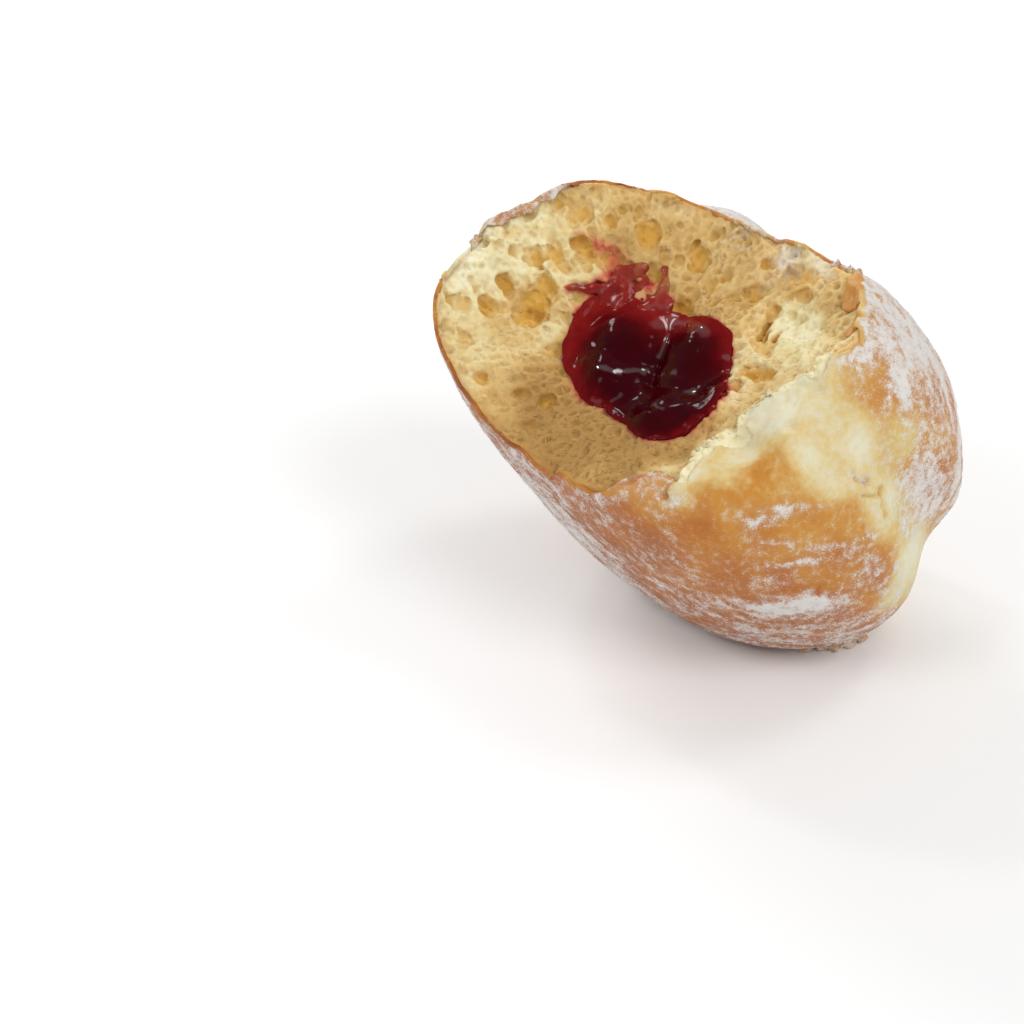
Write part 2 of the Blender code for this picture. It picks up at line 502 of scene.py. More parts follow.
# %% Helpers that press in cells
CRUMB_SINK = 0.55 * MM
JELLY_SIZE = np.array((24.0, 35.0, 29.0)) * MM  # along the pull, across it, and up
JELLY_CENTRE = np.array((-7.6, -1.6, -4.4)) * MM
HOLLOWS = (  # place and radius
    ((-15.8, -8.4, 9.4), 4.6),
    ((-5.5, -21.0, 12.8), 7.4),
)
COARSE_CELLS = (  # place and radius
    ((-30.9, 2.2, -8.8), 3.0),
    ((-36.0, -0.4, 7.1), 2.4),
    ((-25.5, -2.6, 11.8), 2.5),
    ((-31.3, -1.6, 9.0), 1.6),
    ((-18.0, -4.4, 18.2), 1.8),
    ((-14.6, -6.6, 19.6), 1.5),
    ((-24.6, 6.0, -6.9), 1.5),
    ((2.0, -20.2, 1.8), 1.4),
    ((-33.2, 1.2, -0.6), 1.6),
    ((-22.5, -3.4, 15.8), 1.4),
    ((-29.0, -1.0, 4.0), 1.7),
)
COARSE_SIZES = ((2.2, 26), (1.5, 80), (1.1, 160))
FINE_SIZES = ((0.85, 260), (0.6, 1500), (0.42, 5000))  # middling radius and how many are tried
SLIT_HALF_WIDTH = 0.4
SLIT_DEPTH = 2.2 * MM
FLUFFY_WALL = ((3.0, -19.5, 13.0), 6.5, 9.5)  # middle, and where cells start and are common again
COARSE_SIDE = np.array((-0.62, 0.0, 0.78))  # towards the coarser crumb, up along the far rim

SLITS = (  # start and end of narrow dark cuts right of the jelly
    ((-1.2, -14.5, 7.8), (-1.9, -13.2, 11.2)),
    ((-2.2, -13.4, 9.4), (-2.8, -12.4, 12.6)),
    ((-0.4, -14.8, 9.6), (-1.0, -14.2, 12.4)),
)


def slide(points, ways, middle, radius, squeeze, near):
    """Move the near points that are inside a ball along their ways, to the ball's far wall."""
    offset = (points[near] - middle) @ squeeze
    way = ways[near] @ squeeze
    a = np.sum(way * way, axis=1)
    b = np.sum(offset * way, axis=1)
    c = np.sum(offset * offset, axis=1) - radius**2
    inside = c < 0.0
    root = np.sqrt(np.maximum(b * b - a * c, 0.0))
    travel = np.where(inside, (root - b) / a, 0.0)
    points[near] += ways[near] * travel[:, None]


def press_cells(points, ways, middles, radii, stretches, rough):
    """Press in a lot of balls, each a little stretched along the pull away from the jelly."""
    pressed = points.copy()
    tree = KDTree(len(points))
    for index, place in enumerate(points):
        tree.insert(place, index)
    tree.balance()
    for middle, radius, stretch in zip(middles, radii, stretches):
        found = tree.find_range(middle, radius * stretch * 1.4 + 1.5 * MM)
        near = np.array([entry[1] for entry in found], int)
        if len(near):
            pull = middle - JELLY_CENTRE
            pull /= np.linalg.norm(pull)
            squeeze = np.eye(3) - np.outer(pull, pull) * (1.0 - 1.0 / stretch)
            slide(pressed, ways, middle, radius * rough[near], squeeze, near)
    return pressed


def off_wall(points):
    middle, inner, outer = FLUFFY_WALL
    return smooth_step(away_from(points, middle), inner * MM, outer * MM)


def throw_cells(points, out, chances, placed, sizes, sinking, closeness, seed):
    """Middles and radii of cells that the surface meets, hardly running into each other."""
    random = np.random.default_rng(seed)
    middles = [np.array(middle) * MM for middle, radius in placed]
    radii = [radius * MM for middle, radius in placed]
    order = np.arange(len(points))
    for size, tries in sizes:
        for index in random.choice(order, tries, p=chances / chances.sum()):
            radius = size * MM * random.uniform(0.75, 1.3)
            coarse = points[index] @ COARSE_SIDE / (25 * MM)
            if random.random() < size - 0.7 - coarse:
                continue
            middle = points[index] + out[index] * radius * random.uniform(*sinking)
            if middles:
                gaps = np.linalg.norm(np.array(middles) - middle, axis=1) - np.array(radii)
                if gaps.min() < radius * closeness:
                    continue
            middles.append(middle)
            radii.append(radius)
    return np.array(middles), np.array(radii)


# %% [markdown]
# ## The jelly's shape
#
# The filling lies in a pocket and shows as a wide lobed pool. It starts as a fine ball. Seen along the
# pull, the ball's rim is drawn to the pool's outline, and its back is the round pocket. Its front is laid
# on the torn face, which is found by casting a ray at it, and swollen into lobes with a crease between
# them. The crumb is later pressed down along the same back, so the two always fit.

# %% The jelly's outline, back and front
across = np.array((-outward[1], outward[0], 0.0))
upward = np.array((0.0, 0.0, 1.0))
POOL_OUTLINE = (  # side and height, once round, seen along the pull
    (-11.5, -7.2), (-13.6, -4.4), (-14.7, -0.9), (-15.1, 2.1), (-14.1, 5.0), (-11.6, 6.9), (-7.5, 7.9),
    (-4.3, 9.3), (-0.6, 10.6), (5.3, 11.8), (8.0, 11.2), (9.7, 9.1), (12.2, 6.2), (15.6, 2.4), (16.8, -1.4),
    (16.0, -4.5), (14.7, -7.9), (11.8, -10.0), (5.6, -9.6), (0.3, -9.2), (-3.0, -10.3), (-7.5, -8.6),
)
POOL_SPILL = 1.025  # how far the jelly runs over its pocket, as a share of the outline
POCKET = 0.94  # where the pocket under the jelly ends, as a share of the outline
POOL_LOBES = (  # middle, how tall and half width
    ((-6.8, 0.4), 2.3, 5.2),
    ((5.4, 4.2), 2.6, 4.6),
    ((8.6, -4.2), 1.7, 4.6),
    ((-1.8, -5.6), 1.1, 3.4),
)
POOL_CREASES = (  # start, end, how deep and half width
    ((-3.6, 8.6), (2.4, -2.0), 1.5, 1.0),
    ((-10.0, -1.8), (-2.6, -2.2), 0.5, 0.6),
    ((2.6, -2.2), (14.0, 0.6), 0.5, 0.8),
)
outline = np.array(POOL_OUTLINE) * MM
outline_angles = np.arctan2(outline[:, 1], outline[:, 0])
outline_reach = np.hypot(outline[:, 0], outline[:, 1])


def pool_limit(angles):
    return np.interp(angles, outline_angles, outline_reach, period=2 * math.pi)


def pool_place(points):
    """Where points lie seen along the pull: side, height, share of the way to the outline, and depth."""
    offset = points - JELLY_CENTRE
    side, height = offset @ across, offset @ upward
    share = np.hypot(side, height) / pool_limit(np.arctan2(height, side))
    return side, height, share, offset @ outward


def past_pool(points):
    """How far points lie outside the pool's outline, seen along the pull."""
    side, height, share, _ = pool_place(points)
    return (share - 1.0) * pool_limit(np.arctan2(height, side))


def torn_height(side, height):
    """How far the torn face stands out in front of the jelly's middle."""
    heights = np.empty(len(side))
    starts = JELLY_CENTRE + outward * 60 * MM + np.outer(side, across) + np.outer(height, upward)
    for index, start in enumerate(starts):
        hit = before_cells.ray_cast(start, -outward)
        heights[index] = 60 * MM - hit[3] if hit[0] is not None else np.nan
    return np.where(np.isnan(heights), np.nanmean(heights), heights)


def pool_back(base, share):
    """The back of the jelly: at the torn face on the outline, and deep in the middle."""
    round_back = np.sqrt(np.clip(1.0 - share**2, 0.0, 1.0))
    sunk = smooth_step(round_back, 0.0, 0.55)
    return base - 0.25 * MM - (base + JELLY_SIZE[0] / 2 * round_back) * sunk


def pool_swell(side, height):
    swell = np.zeros(len(side))
    for (middle_side, middle_height), tall, wide in POOL_LOBES:
        away = np.hypot(side - middle_side * MM, height - middle_height * MM)
        swell += tall * MM * soft_edge(away, wide)
    for start, end, deep, wide in POOL_CREASES:
        start, end = np.array(start) * MM, np.array(end) * MM
        step = end - start
        along = ((side - start[0]) * step[0] + (height - start[1]) * step[1]) / (step @ step)
        along = np.clip(along, 0.0, 1.0)
        away = np.hypot(side - start[0] - along * step[0], height - start[1] - along * step[1])
        swell -= deep * MM * soft_edge(away, wide)
    return swell


# %% [markdown]
# ## The crumb's large hollows
#
# The crumb is the soft yellow inside. It could be sculpted by hand, but a torn face has hundreds of cells,
# so they are pressed in by rule instead. Where the skin covers it, the crumb is first sunk a little, so
# that the two never share a surface. At a few places along the rim the skin rolls over on to the torn face,
# and the crumb gives way there too. Then come the hollows, the large cells and the pocket for the jelly.

# %% Sink the crumb, and press in hollows, cells and pocket
ROLLED = (  # where the skin rolls over the rim: place, how far and half width
    ((3.5, -22.0, 20.0), 6.5, 4.0),
    ((6.8, -26.5, 16.0), 6.0, 3.2),
    ((1.8, -22.3, -19.2), 8.0, 4.4),
    ((-1.0, -20.8, -21.0), 5.0, 3.5),
    ((-42.8, 1.8, -2.5), 2.2, 3.5),
    ((-41.8, 1.7, 1.5), 2.4, 4.0),
    ((-40.3, 1.4, 5.5), 2.2, 4.0),
    ((-14.0, -8.0, 24.0), 1.2, 6.0),
)
crumb = copy_of(bun, "crumb")
points = points_of(crumb)
out = normals_of(crumb)
rolled = np.zeros(len(points))
for place, how_far, half_width in ROLLED:
    rolled = np.maximum(rolled, how_far * MM * round_spot(points, place, half_width))
open_face = smooth_step(depth - gap, -0.1 * MM, 0.5 * MM)
bare = open_face * smooth_step(depth - gap - rolled, -0.1 * MM, 0.5 * MM)
bare *= 1.0 - smooth_step(flap, 1.6 * MM, 3.0 * MM)
open_face *= 1.0 - smooth_step(flap, 1.2 * MM, 2.6 * MM)
sunk = CRUMB_SINK * (1.0 - bare)
points -= out * sunk[:, None]

every = np.arange(len(points))
inward = np.tile(-outward, (len(points), 1))
for middle, radius in HOLLOWS:
    slide(points, inward, np.array(middle) * MM, radius * MM, np.eye(3), every)
move_points(crumb, points)
smooth(crumb, 3)
points = points_of(crumb)
before_cells = surface_of(crumb)
smear = copy_of(crumb, "jelly_smear")

face = np.nonzero(open_face > 0.3)[0]
share_here = pool_place(points[face])[2]
chances = np.where((depth[face] > 1.4 * MM) & (share_here > 0.98), off_wall(points[face]), 0.0)
middles, radii = throw_cells(
    points[face], out[face], chances, COARSE_CELLS, COARSE_SIZES, (-0.35, 0.45), 0.75, seed=4
)
random = np.random.default_rng(11)
stretches = 1.0 + 0.9 * random.random(len(middles)) ** 2
rough = 1.0 + 0.28 * soft_noise(points[face], 1.3 * MM, 3) + 0.12 * soft_noise(points[face], 0.7 * MM, 4)
pressed = press_cells(points[face], -out[face], middles, radii, stretches, rough)
firm = smooth_step(depth[face], 0.5 * MM, 2.2 * MM) * smooth_step(share_here, 0.96, 1.10)
points[face] += (pressed - points[face]) * firm[:, None]
side, height, share, stands = pool_place(points)
in_pocket = np.nonzero((share < POCKET) & (open_face > 0.2))[0]
base = torn_height(side[in_pocket], height[in_pocket])
drop = stands[in_pocket] - (pool_back(base, share[in_pocket]) - 0.15 * MM)
points[in_pocket] -= outward * np.maximum(drop, 0.0)[:, None]
move_points(crumb, points)
print("large cells:", len(middles))

# %% [markdown]
# ## The jelly
#
# The filling is a wet, dark pool with a thin rim. A metaball or a fluid run could give such a blob, but not
# this outline. Here each vertex of a ball is moved to its place in the pool, which keeps the mesh closed
# and even. Two numbers are stored on it for the material: how thick the jelly is there, and how wet it
# looks.

# %% Make the jelly
deselect_all()
bpy.ops.mesh.primitive_ico_sphere_add(subdivisions=7, radius=1.0)
jelly = bpy.context.active_object
jelly.name = "jelly_filling"
ball = points_of(jelly)
angles = np.arctan2(ball[:, 2], ball[:, 1])
share = np.clip(np.hypot(ball[:, 1], ball[:, 2]), 0.0, 1.0)
side = pool_limit(angles) * share * np.cos(angles) * POOL_SPILL
height = pool_limit(angles) * share * np.sin(angles) * POOL_SPILL
base = torn_height(side, height)
thick_side = 0.5 - 0.5 * np.cos(angles - math.radians(140))  # 0 at the thin upper left, 1 at the lower right
edge = (0.35 + 0.75 * thick_side) * MM
domed = np.abs(ball[:, 0])
ragged = 1.0 + 0.018 * soft_noise(ball, 0.09, 46) + 0.012 * soft_noise(ball, 0.045, 47)
side, height = side * ragged, height * ragged
front = base + edge * domed**0.5 + pool_swell(side, height) * smooth_step(1.0 - share, 0.0, 0.35)
front += (0.14 * soft_noise(ball, 0.11, 41) + 0.05 * soft_noise(ball, 0.04, 42)) * MM * domed
back = pool_back(base, share)
stands = np.where(ball[:, 0] > 0.0, front, back)
place = JELLY_CENTRE + np.outer(stands, outward) + np.outer(side, across) + np.outer(height, upward)
move_points(jelly, place)
put_group(jelly, "front", smooth_step(ball[:, 0], 0.05, 0.4))
smooth(jelly, 25, "front")
jelly.vertex_groups.clear()
smooth(jelly, 2)
from_edge = (1.0 - share) * pool_limit(angles)
thin_width = (2.0 + 8.0 * (1.0 - thick_side) ** 1.15) * MM
thick = smooth_step(from_edge + 0.5 * MM * soft_noise(place, 1.5 * MM, 43), 0.0, thin_width)
thinnest = 0.3 + 0.3 * thick_side
put_attribute(jelly, "thick", np.where(ball[:, 0] > 0.0, thinnest + (1.0 - thinnest) * thick, 1.0))
WET = (  # places that catch the light: start, end, half width and strength
    ((-14.9, -3.7, 2.2), (-13.4, -3.5, 3.9), 1.0, 0.7),
    ((-13.4, -3.5, 3.9), (-10.7, -7.0, 4.7), 1.3, 1.0),
    ((-10.7, -7.0, 4.7), (-8.6, -9.4, 5.0), 0.9, 0.8),
    ((-16.1, -6.2, -9.6), (-14.2, -7.1, -9.1), 0.6, 1.0),
    ((-14.2, -7.1, -9.1), (-12.7, -6.5, -7.0), 0.35, 0.8),
    ((-12.7, -6.5, -7.0), (-10.9, -6.4, -5.2), 0.6, 1.0),
    ((-12.0, -3.7, 2.0), (-10.7, -4.9, -1.4), 0.5, 0.9),
    ((-7.5, -10.6, -3.1), (-7.4, -10.7, -3.1), 0.5, 1.0),
    ((-3.9, -13.8, -4.2), (-3.6, -14.1, -4.2), 0.7, 1.0),
    ((-1.8, -17.1, -2.8), (-1.6, -17.2, -2.7), 0.7, 1.0),
    ((-3.6, -12.9, 3.8), (-3.2, -13.2, 3.8), 0.6, 1.0),
    ((-8.6, -8.7, -4.2), (-8.8, -7.6, -5.4), 0.4, 0.8),
    ((-6.2, -13.6, -9.6), (-5.0, -14.6, -9.2), 0.4, 0.7),
)
places = points_of(jelly)
wet = np.zeros(len(places))
wavy = places + 0.5 * MM * np.stack([soft_noise(places, 1.2 * MM, seed) for seed in (65, 66, 67)], axis=1)
for start, end, half_width, strength in WET:
    away, _ = stroke(wavy, start, end)
    wet = np.maximum(wet, strength * (1.0 - smooth_step(away, 0.6 * half_width * MM, 1.3 * half_width * MM)))
put_attribute(jelly, "wet", wet)
print("jelly:", triangles_in(jelly), "triangles")

# %% [markdown]
# ## The fine foam
#
# Between the large cells the crumb is a foam of small ones. A second voxel remesh gives even squares again,
# also down in the hollows, and the faces in the open are subdivided once. Then thousands of small balls are
# pressed in, the same way as the large ones. A last fine noise takes away the roundness that would give the
# balls away.

# %% Press in the fine cells
def carry(values, old_points, new_points):
    """Give each new point the value of the nearest old one."""
    tree = KDTree(len(old_points))
    for index, place in enumerate(old_points):
        tree.insert(place, index)
    tree.balance()
    return values[[tree.find(place)[1] for place in new_points]]


old_points = points
remesh(crumb, COARSE)
smooth(crumb, 1)
points = points_of(crumb)
open_here = carry(open_face, old_points, points)
open_here *= smooth_step(pool_place(points)[2], 0.90, POCKET)
corners = np.empty(len(crumb.data.loops), int)
crumb.data.loops.foreach_get("vertex_index", corners)
starts = np.empty(len(crumb.data.polygons), int)
crumb.data.polygons.foreach_get("loop_start", starts)
in_open = np.minimum.reduceat(open_here[corners], starts) > 0.05
pick(crumb)
bpy.context.tool_settings.mesh_select_mode = (False, False, True)
bpy.ops.object.mode_set(mode="EDIT")
bpy.ops.mesh.select_all(action="DESELECT")
bpy.ops.object.mode_set(mode="OBJECT")
crumb.data.polygons.foreach_set("select", in_open)
bpy.ops.object.mode_set(mode="EDIT")
bpy.ops.mesh.subdivide(number_cuts=1)
bpy.ops.object.mode_set(mode="OBJECT")
bpy.context.tool_settings.mesh_select_mode = (True, False, False)
coarse_points = points
points = points_of(crumb)
open_here = carry(open_here, coarse_points, points)
put_group(crumb, "open", open_here)
smooth(crumb, 2, "open")
crumb.vertex_groups.clear()
points = points_of(crumb)
out = normals_of(crumb)
depth_here, _ = nearest(skin, points)
share = pool_place(points)[2]
from_pool = past_pool(points)
face = np.nonzero(open_here > 0.05)[0]
print("fine crumb:", len(points), "vertices,", len(face), "in the open")

coarser = 0.5 * (points[face] @ COARSE_SIDE) / (25 * MM)
airy = smooth_step(soft_noise(points[face], 6.5 * MM, 8) + coarser, -0.5, 0.5)
chances = np.where(depth_here[face] > 0.8 * MM, 0.12 + airy, 0.0) * (0.3 + 0.7 * off_wall(points[face]))
ways = out[face] + nearest(before_cells, points[face])[1]
ways /= np.linalg.norm(ways, axis=1, keepdims=True)
middles, radii = throw_cells(points[face], ways, chances, (), FINE_SIZES, (0.1, 0.75), 0.7, seed=5)
random = np.random.default_rng(12)
stretches = 1.0 + 1.1 * random.random(len(middles)) ** 2
rough = 1.0 + 0.3 * soft_noise(points[face], 0.7 * MM, 5)
pressed = press_cells(points[face], -ways, middles, radii, stretches, rough)
from_heart = pressed - JELLY_CENTRE
rays = from_heart / np.linalg.norm(from_heart, axis=1, keepdims=True) * 13 * MM + from_heart * 0.22
fuzz = 0.15 * soft_noise(rays, 0.65 * MM, 6) + 0.16 * soft_noise(pressed, 1.1 * MM, 7)
fuzz += 0.06 * soft_noise(pressed, 0.5 * MM, 9)
fuzz += 0.25 * (1.0 - off_wall(pressed)) * streaks(pressed, (0.3, 0.5, 0.8), 3.5 * MM, 0.8 * MM, 58)
firm = smooth_step(depth_here[face], 0.3 * MM, 1.4 * MM) * smooth_step(share[face], 0.97, 1.04)
pressed = points[face] + (pressed - points[face]) * firm[:, None]
points[face] = pressed + ways * (fuzz * MM * open_here[face] * (0.4 + 0.6 * firm))[:, None]
slit = np.zeros(len(points))
for start, end in SLITS:
    slit = np.maximum(slit, soft_edge(stroke(points, start, end)[0], SLIT_HALF_WIDTH))
points[face] -= ways * (SLIT_DEPTH * slit[face])[:, None]
move_points(crumb, points)
put_group(crumb, "open", open_here * 0.8)
smooth(crumb, 2, "open")
crumb.vertex_groups.clear()
points = points_of(crumb)
print("fine cells:", len(middles))

# %% [markdown]
# ## Masks for the finish
#
# The materials need to know how deep in a cell a point lies, how near it is to the skin, how tan the crumb
# is and where painted shade darkens it, where jelly has stained the crumb, where the crust is browned and
# where sugar clings. Each of these is a number stored at every vertex, worked out from the place on the
# doughnut.

# %% Masks on the crumb, and fewer faces at its back
CRUMB_FACES_KEPT = 0.57
pit, _ = nearest(before_cells, points)
pit[share < POCKET] = 0.0
TAN_AND_SHADE_AT = (  # place, and how tan the crumb is there; the high values low on the torn face are painted shade
    ((-30.8, 5.2, -8.5), 0.75), ((-29.5, 4.0, -7.0), 0.60), ((-31.3, 2.7, -14.7), 0.52),
    ((-29.1, 2.6, -12.5), 0.50), ((-42.9, 1.3, -10.7), 0.0), ((-43.0, 1.3, -14.0), 0.0),
    ((-39.3, 3.0, -10.1), 0.16), ((-36.6, 0.9, -20.7), 0.45), ((-34.7, 2.9, 0.1), 0.30),
    ((-26.0, -0.1, 7.3), 0.85), ((0.5, -17.8, -1.5), 0.40), ((-26.8, 0.8, -9.6), 0.20),
    ((5.8, -21.2, 17.5), 0.70), ((2.5, -19.4, 20.7), 0.72), ((-0.8, -17.4, 23.1), 0.6),
    ((-4.2, -13.9, 24.2), 0.35), ((6.9, -25.5, 10.5), 0.34), ((6.4, -23.7, -5.8), 0.05),
    ((3.9, -22.1, -10.6), 0.15), ((-33.0, -1.0, -14.0), 0.15), ((-36.0, 0.0, -2.0), 0.10),
    ((-38.5, 2.7, -17.6), 0.28), ((-33.5, 0.6, -4.0), 0.22), ((-20.5, -2.0, -15.5), 0.95),
    ((-14.0, -7.0, -19.5), 1.05), ((-3.5, -16.5, -18.5), 1.0), ((-22.0, 0.6, -9.0), 0.75),
    ((0.5, -19.5, -13.0), 1.0), ((-8.0, -12.0, -17.0), 1.1), ((1.8, -19.5, -7.5), 0.78),
    ((-34.0, 0.2, 5.0), 0.44), ((-36.5, 0.5, 10.0), 0.55), ((-30.0, -1.0, 12.5), 0.62),
    ((-27.0, -2.0, 16.5), 0.60), ((-20.0, -3.0, 14.0), 0.62), ((-17.0, -5.0, 19.0), 0.55),
    ((-24.0, -1.0, 8.5), 0.66), ((-29.0, 0.0, 3.0), 0.46), ((-15.0, -5.0, 10.0), 0.80),
    ((-8.0, -9.5, 12.0), 0.80), ((-9.0, -10.5, 18.0), 0.65), ((-4.0, -14.5, 20.0), 0.70),
    ((-1.5, -14.0, 14.0), 0.05), ((2.4, -17.6, 14.6), 0.10), ((4.5, -22.0, 11.0), 0.34),
    ((1.3, -18.0, 4.6), 0.42), ((-4.0, -12.0, 13.0), 0.50), ((1.5, -20.5, 20.5), 0.40),
    ((5.0, -24.5, 17.0), 0.45), ((7.0, -30.0, 10.5), 0.40), ((3.0, -21.0, -6.0), 0.45),
    ((3.0, -24.0, -18.0), 0.40),
)
# The tan the crumb really has, with painted shade added low on the torn face.
tan_and_shade = spread_from(points, TAN_AND_SHADE_AT, 3.5 * MM) + 0.10 * soft_noise(points, 3.0 * MM, 45)
past_edge = past_flap_edge(points)
# Painted shadow: the crumb just in front of the torn lip is darkened as if the lip shaded it.
lip_shadow = smooth_step(past_edge, -6.5 * MM, -3.5 * MM)
lip_shadow *= 1.0 - smooth_step(past_edge, -2.4 * MM, -1.2 * MM)
tan_and_shade += 0.20 * lip_shadow
tan_and_shade += (0.10 - tan_and_shade) * smooth_step(past_edge, -1.6 * MM, -0.2 * MM)
# The narrow cuts right of the jelly are darkened as well: painted shade in the cuts.
put_attribute(crumb, "tan_and_shade", np.clip(tan_and_shade + 0.9 * slit, 0.0, 1.4))
STAINS = (  # place, strength and half width
    ((-33.3, 0.6, 4.4), 0.35, 1.4),
    ((-30.3, 0.1, 5.1), 0.45, 1.8),
    ((-27.3, -0.4, 5.7), 0.55, 1.8),
    ((-24.6, -0.6, 4.6), 1.00, 2.0),
    ((-22.6, 0.5, 2.6), 1.00, 2.4),
    ((-20.1, -1.2, 6.1), 0.80, 1.6),
    ((-16.2, -3.2, 5.9), 0.55, 1.6),
    ((-24.8, 0.7, 0.7), 1.00, 1.6),
    ((-26.6, 1.0, -1.0), 0.80, 1.0),
    ((-28.4, 1.0, -2.6), 0.60, 0.9),
    ((-12.9, -5.5, 12.2), 0.30, 1.2),
    ((-10.6, -7.3, 12.1), 0.30, 1.0),
    ((0.5, -17.8, -1.5), 0.50, 2.2),
    ((1.7, -19.2, -8.4), 0.20, 1.8),
)
DUSTED_CRUMB = (  # where powdered sugar fell on the torn face: place, strength and half width
    ((-14.2, -5.4, 21.1), 0.55, 4.0),
    ((-7.0, -10.1, 22.5), 0.75, 4.5),
    ((-3.8, -15.4, 24.2), 0.75, 4.0),
    ((-7.0, -9.0, 18.3), 0.45, 4.0),
    ((-3.8, -12.1, 13.5), 0.30, 4.0),
    ((0.0, -17.0, 22.0), 0.45, 3.0),
    ((-42.9, 1.3, -11.5), 0.25, 3.5),
    ((-24.5, -1.5, 18.5), 0.35, 3.0),
)
soaked = 1.0 - smooth_step(from_pool, 0.0, 2.6 * MM)
soaked *= smooth_step(soft_noise(points, 1.8 * MM, 69), -0.5, 0.5)
stain = 0.5 * (1.0 - smooth_step(from_pool, 0.0, 1.2 * MM)) + 0.28 * soaked
for place, strong, half_width in STAINS:
    stain += strong * round_spot(points, place, half_width)
stain *= 1.0 + 0.5 * soft_noise(points, 1.6 * MM, 44)
stain = np.maximum(stain, 1.0 - smooth_step(share, 0.97, 1.03))
put_attribute(crumb, "stain", np.clip(stain, 0.0, 1.0))
dusting = np.zeros(len(points))
for place, strong, half_width in DUSTED_CRUMB:
    dusting = np.maximum(dusting, strong * round_spot(points, place, half_width))
put_attribute(crumb, "dusting", dusting)
put_attribute(crumb, "pit", np.clip(pit / (2.2 * MM), 0.0, 1.0))
put_attribute(crumb, "depth", np.clip(depth_here / (8.0 * MM), 0.0, 1.0))
put_group(crumb, "hidden", 1.0 - smooth_step(open_here, 0.0, 0.3))
thinning = crumb.modifiers.new("thinning", "DECIMATE")
thinning.ratio = CRUMB_FACES_KEPT
thinning.vertex_group = "hidden"
thinning.vertex_group_factor = 12.0
apply_all(crumb)
crumb.vertex_groups.clear()
print("crumb:", triangles_in(crumb), "triangles")

# %% [markdown]
# ## What the crust keeps
#
# The crust is the skin side of the same bun. Each vertex is kept or not by its two distances: where the
# skin is nearer than the torn face, it is crust. A little noise makes the cut ragged, and the flap stays
# on. Nothing is deleted yet, because the masks for the finish are worked out on the whole bun first.

# %% What the crust keeps
FLAP_SKIN_FROM = 1.7 * MM
crust = bun
crust.name = "crust"
points = points_of(crust)
ragged = 0.35 * MM * soft_noise(points, 1.6 * MM, 23) + rolled
keep = (depth - gap < ragged) | ((flap > FLAP_SKIN_FROM) & (depth < 9.0 * MM))
from_flap_edge = np.where(on_torn_side > 0.2, np.abs(flap - FLAP_SKIN_FROM), 1.0)
from_edge = np.minimum(np.abs(depth - gap - ragged), from_flap_edge)
put_group(crust, "edge", 1.0 - smooth_step(from_edge, 0.6 * MM, 1.6 * MM))
print("crust:", int(keep.sum()), "of", len(keep), "vertices kept")

# %% [markdown]
# ## Browning
#
# A doughnut floats half sunk, so each side browns in turn and the waist stays pale. The browning rises with
# the distance from a patchy band round the waist. Near the places listed in the table it follows their
# values instead.

# %% Where the skin is browned
BAND_HALF = 8.6 * MM
BAND_NARROWING = 0.16
BROWN_AT = (  # place and browning
    ((8.6, -29.5, -19.1), 0.62), ((10.1, -32.8, -13.2), 0.32), ((10.9, -33.2, -10.0), 0.58),
    ((14.1, -33.9, -8.9), 0.46), ((10.6, -31.2, -16.6), 0.45), ((6.5, -29.2, -19.5), 0.30),
    ((5.0, -27.3, -16.5), 0.12), ((8.7, -31.9, -13.6), 0.16), ((8.6, -29.5, -9.9), 0.10),
    ((6.7, -28.6, -2.4), 0.03), ((7.1, -29.8, 1.1), 0.03), ((11.1, -26.9, -21.1), 0.72),
    ((17.2, -29.9, -15.5), 0.60), ((20.0, -31.2, -10.3), 0.50), ((25.2, -29.2, -5.6), 0.48),
    ((18.5, -20.4, -22.6), 0.75), ((7.8, -17.4, -26.3), 0.85), ((32.1, -14.6, -17.5), 0.80),
    ((10.7, -25.8, 22.1), 0.60), ((8.3, -31.6, 14.6), 0.55), ((14.9, -31.9, 12.0), 0.50),
    ((23.0, -24.6, 18.6), 0.65), ((23.8, -27.6, 9.4), 0.30), ((30.8, -20.9, 12.7), 0.65),
    ((38.3, -15.0, -0.1), 0.08), ((34.2, -21.1, -7.8), 0.62), ((29.1, -25.4, -9.3), 0.66),
    ((17.3, -31.3, 2.8), 0.04), ((27.1, -26.4, 1.2), 0.10), ((26.2, -25.5, 13.1), 0.50),
    ((18.5, -7.2, -25.9), 0.80), ((-1.9, -17.3, -26.7), 0.8), ((4.5, -24.7, 21.2), 0.45),
    ((4.0, -22.5, 19.0), 0.42), ((7.0, -26.7, 15.7), 0.42), ((19.0, -31.0, -2.0), 0.12),
    ((14.0, -33.0, -4.0), 0.10), ((16.7, -29.9, 15.2), 0.55), ((-42.3, 2.0, -0.5), 0.80),
    ((-40.0, 1.5, 6.5), 0.85), ((-28.0, -1.0, 18.0), 0.70), ((3.0, -21.5, 22.0), 0.45),
    ((1.5, -22.0, -18.5), 0.52), ((-0.5, -20.5, -20.5), 0.60),
)
band = points[:, 2] - (-1.2 * MM + 0.09 * points[:, 0])
half = np.clip(BAND_HALF - BAND_NARROWING * points[:, 0], 3.0 * MM, 9.0 * MM)
half *= 1.0 - 0.5 * smooth_step(points[:, 1], -10 * MM, 15 * MM)
patchy = soft_noise(points, 8 * MM, 31) * 1.5 * MM + soft_noise(points, 3.5 * MM, 32) * 0.8 * MM
off_band = np.abs(band) - half + patchy
browning = smooth_step(off_band, -2.0 * MM, 5.0 * MM) * np.where(band > 0.0, 0.48, 0.80)
browning += np.where(band > 0.0, 0.22, 0.12) * smooth_step(off_band, 6.0 * MM, 13.0 * MM)
from_listed = np.min([away_from(points, place) for place, value in BROWN_AT], axis=0)
listed = 1.0 - smooth_step(from_listed, 5.0 * MM, 12.0 * MM)
placed_brown = spread_from(points, BROWN_AT, 5 * MM) + 0.10 * soft_noise(points, 4.0 * MM, 36)
browning += (placed_brown - browning) * listed
browning = np.maximum(browning, 0.0)
print("browning: from", round(float(browning.min()), 2), "to", round(float(browning.max()), 2))

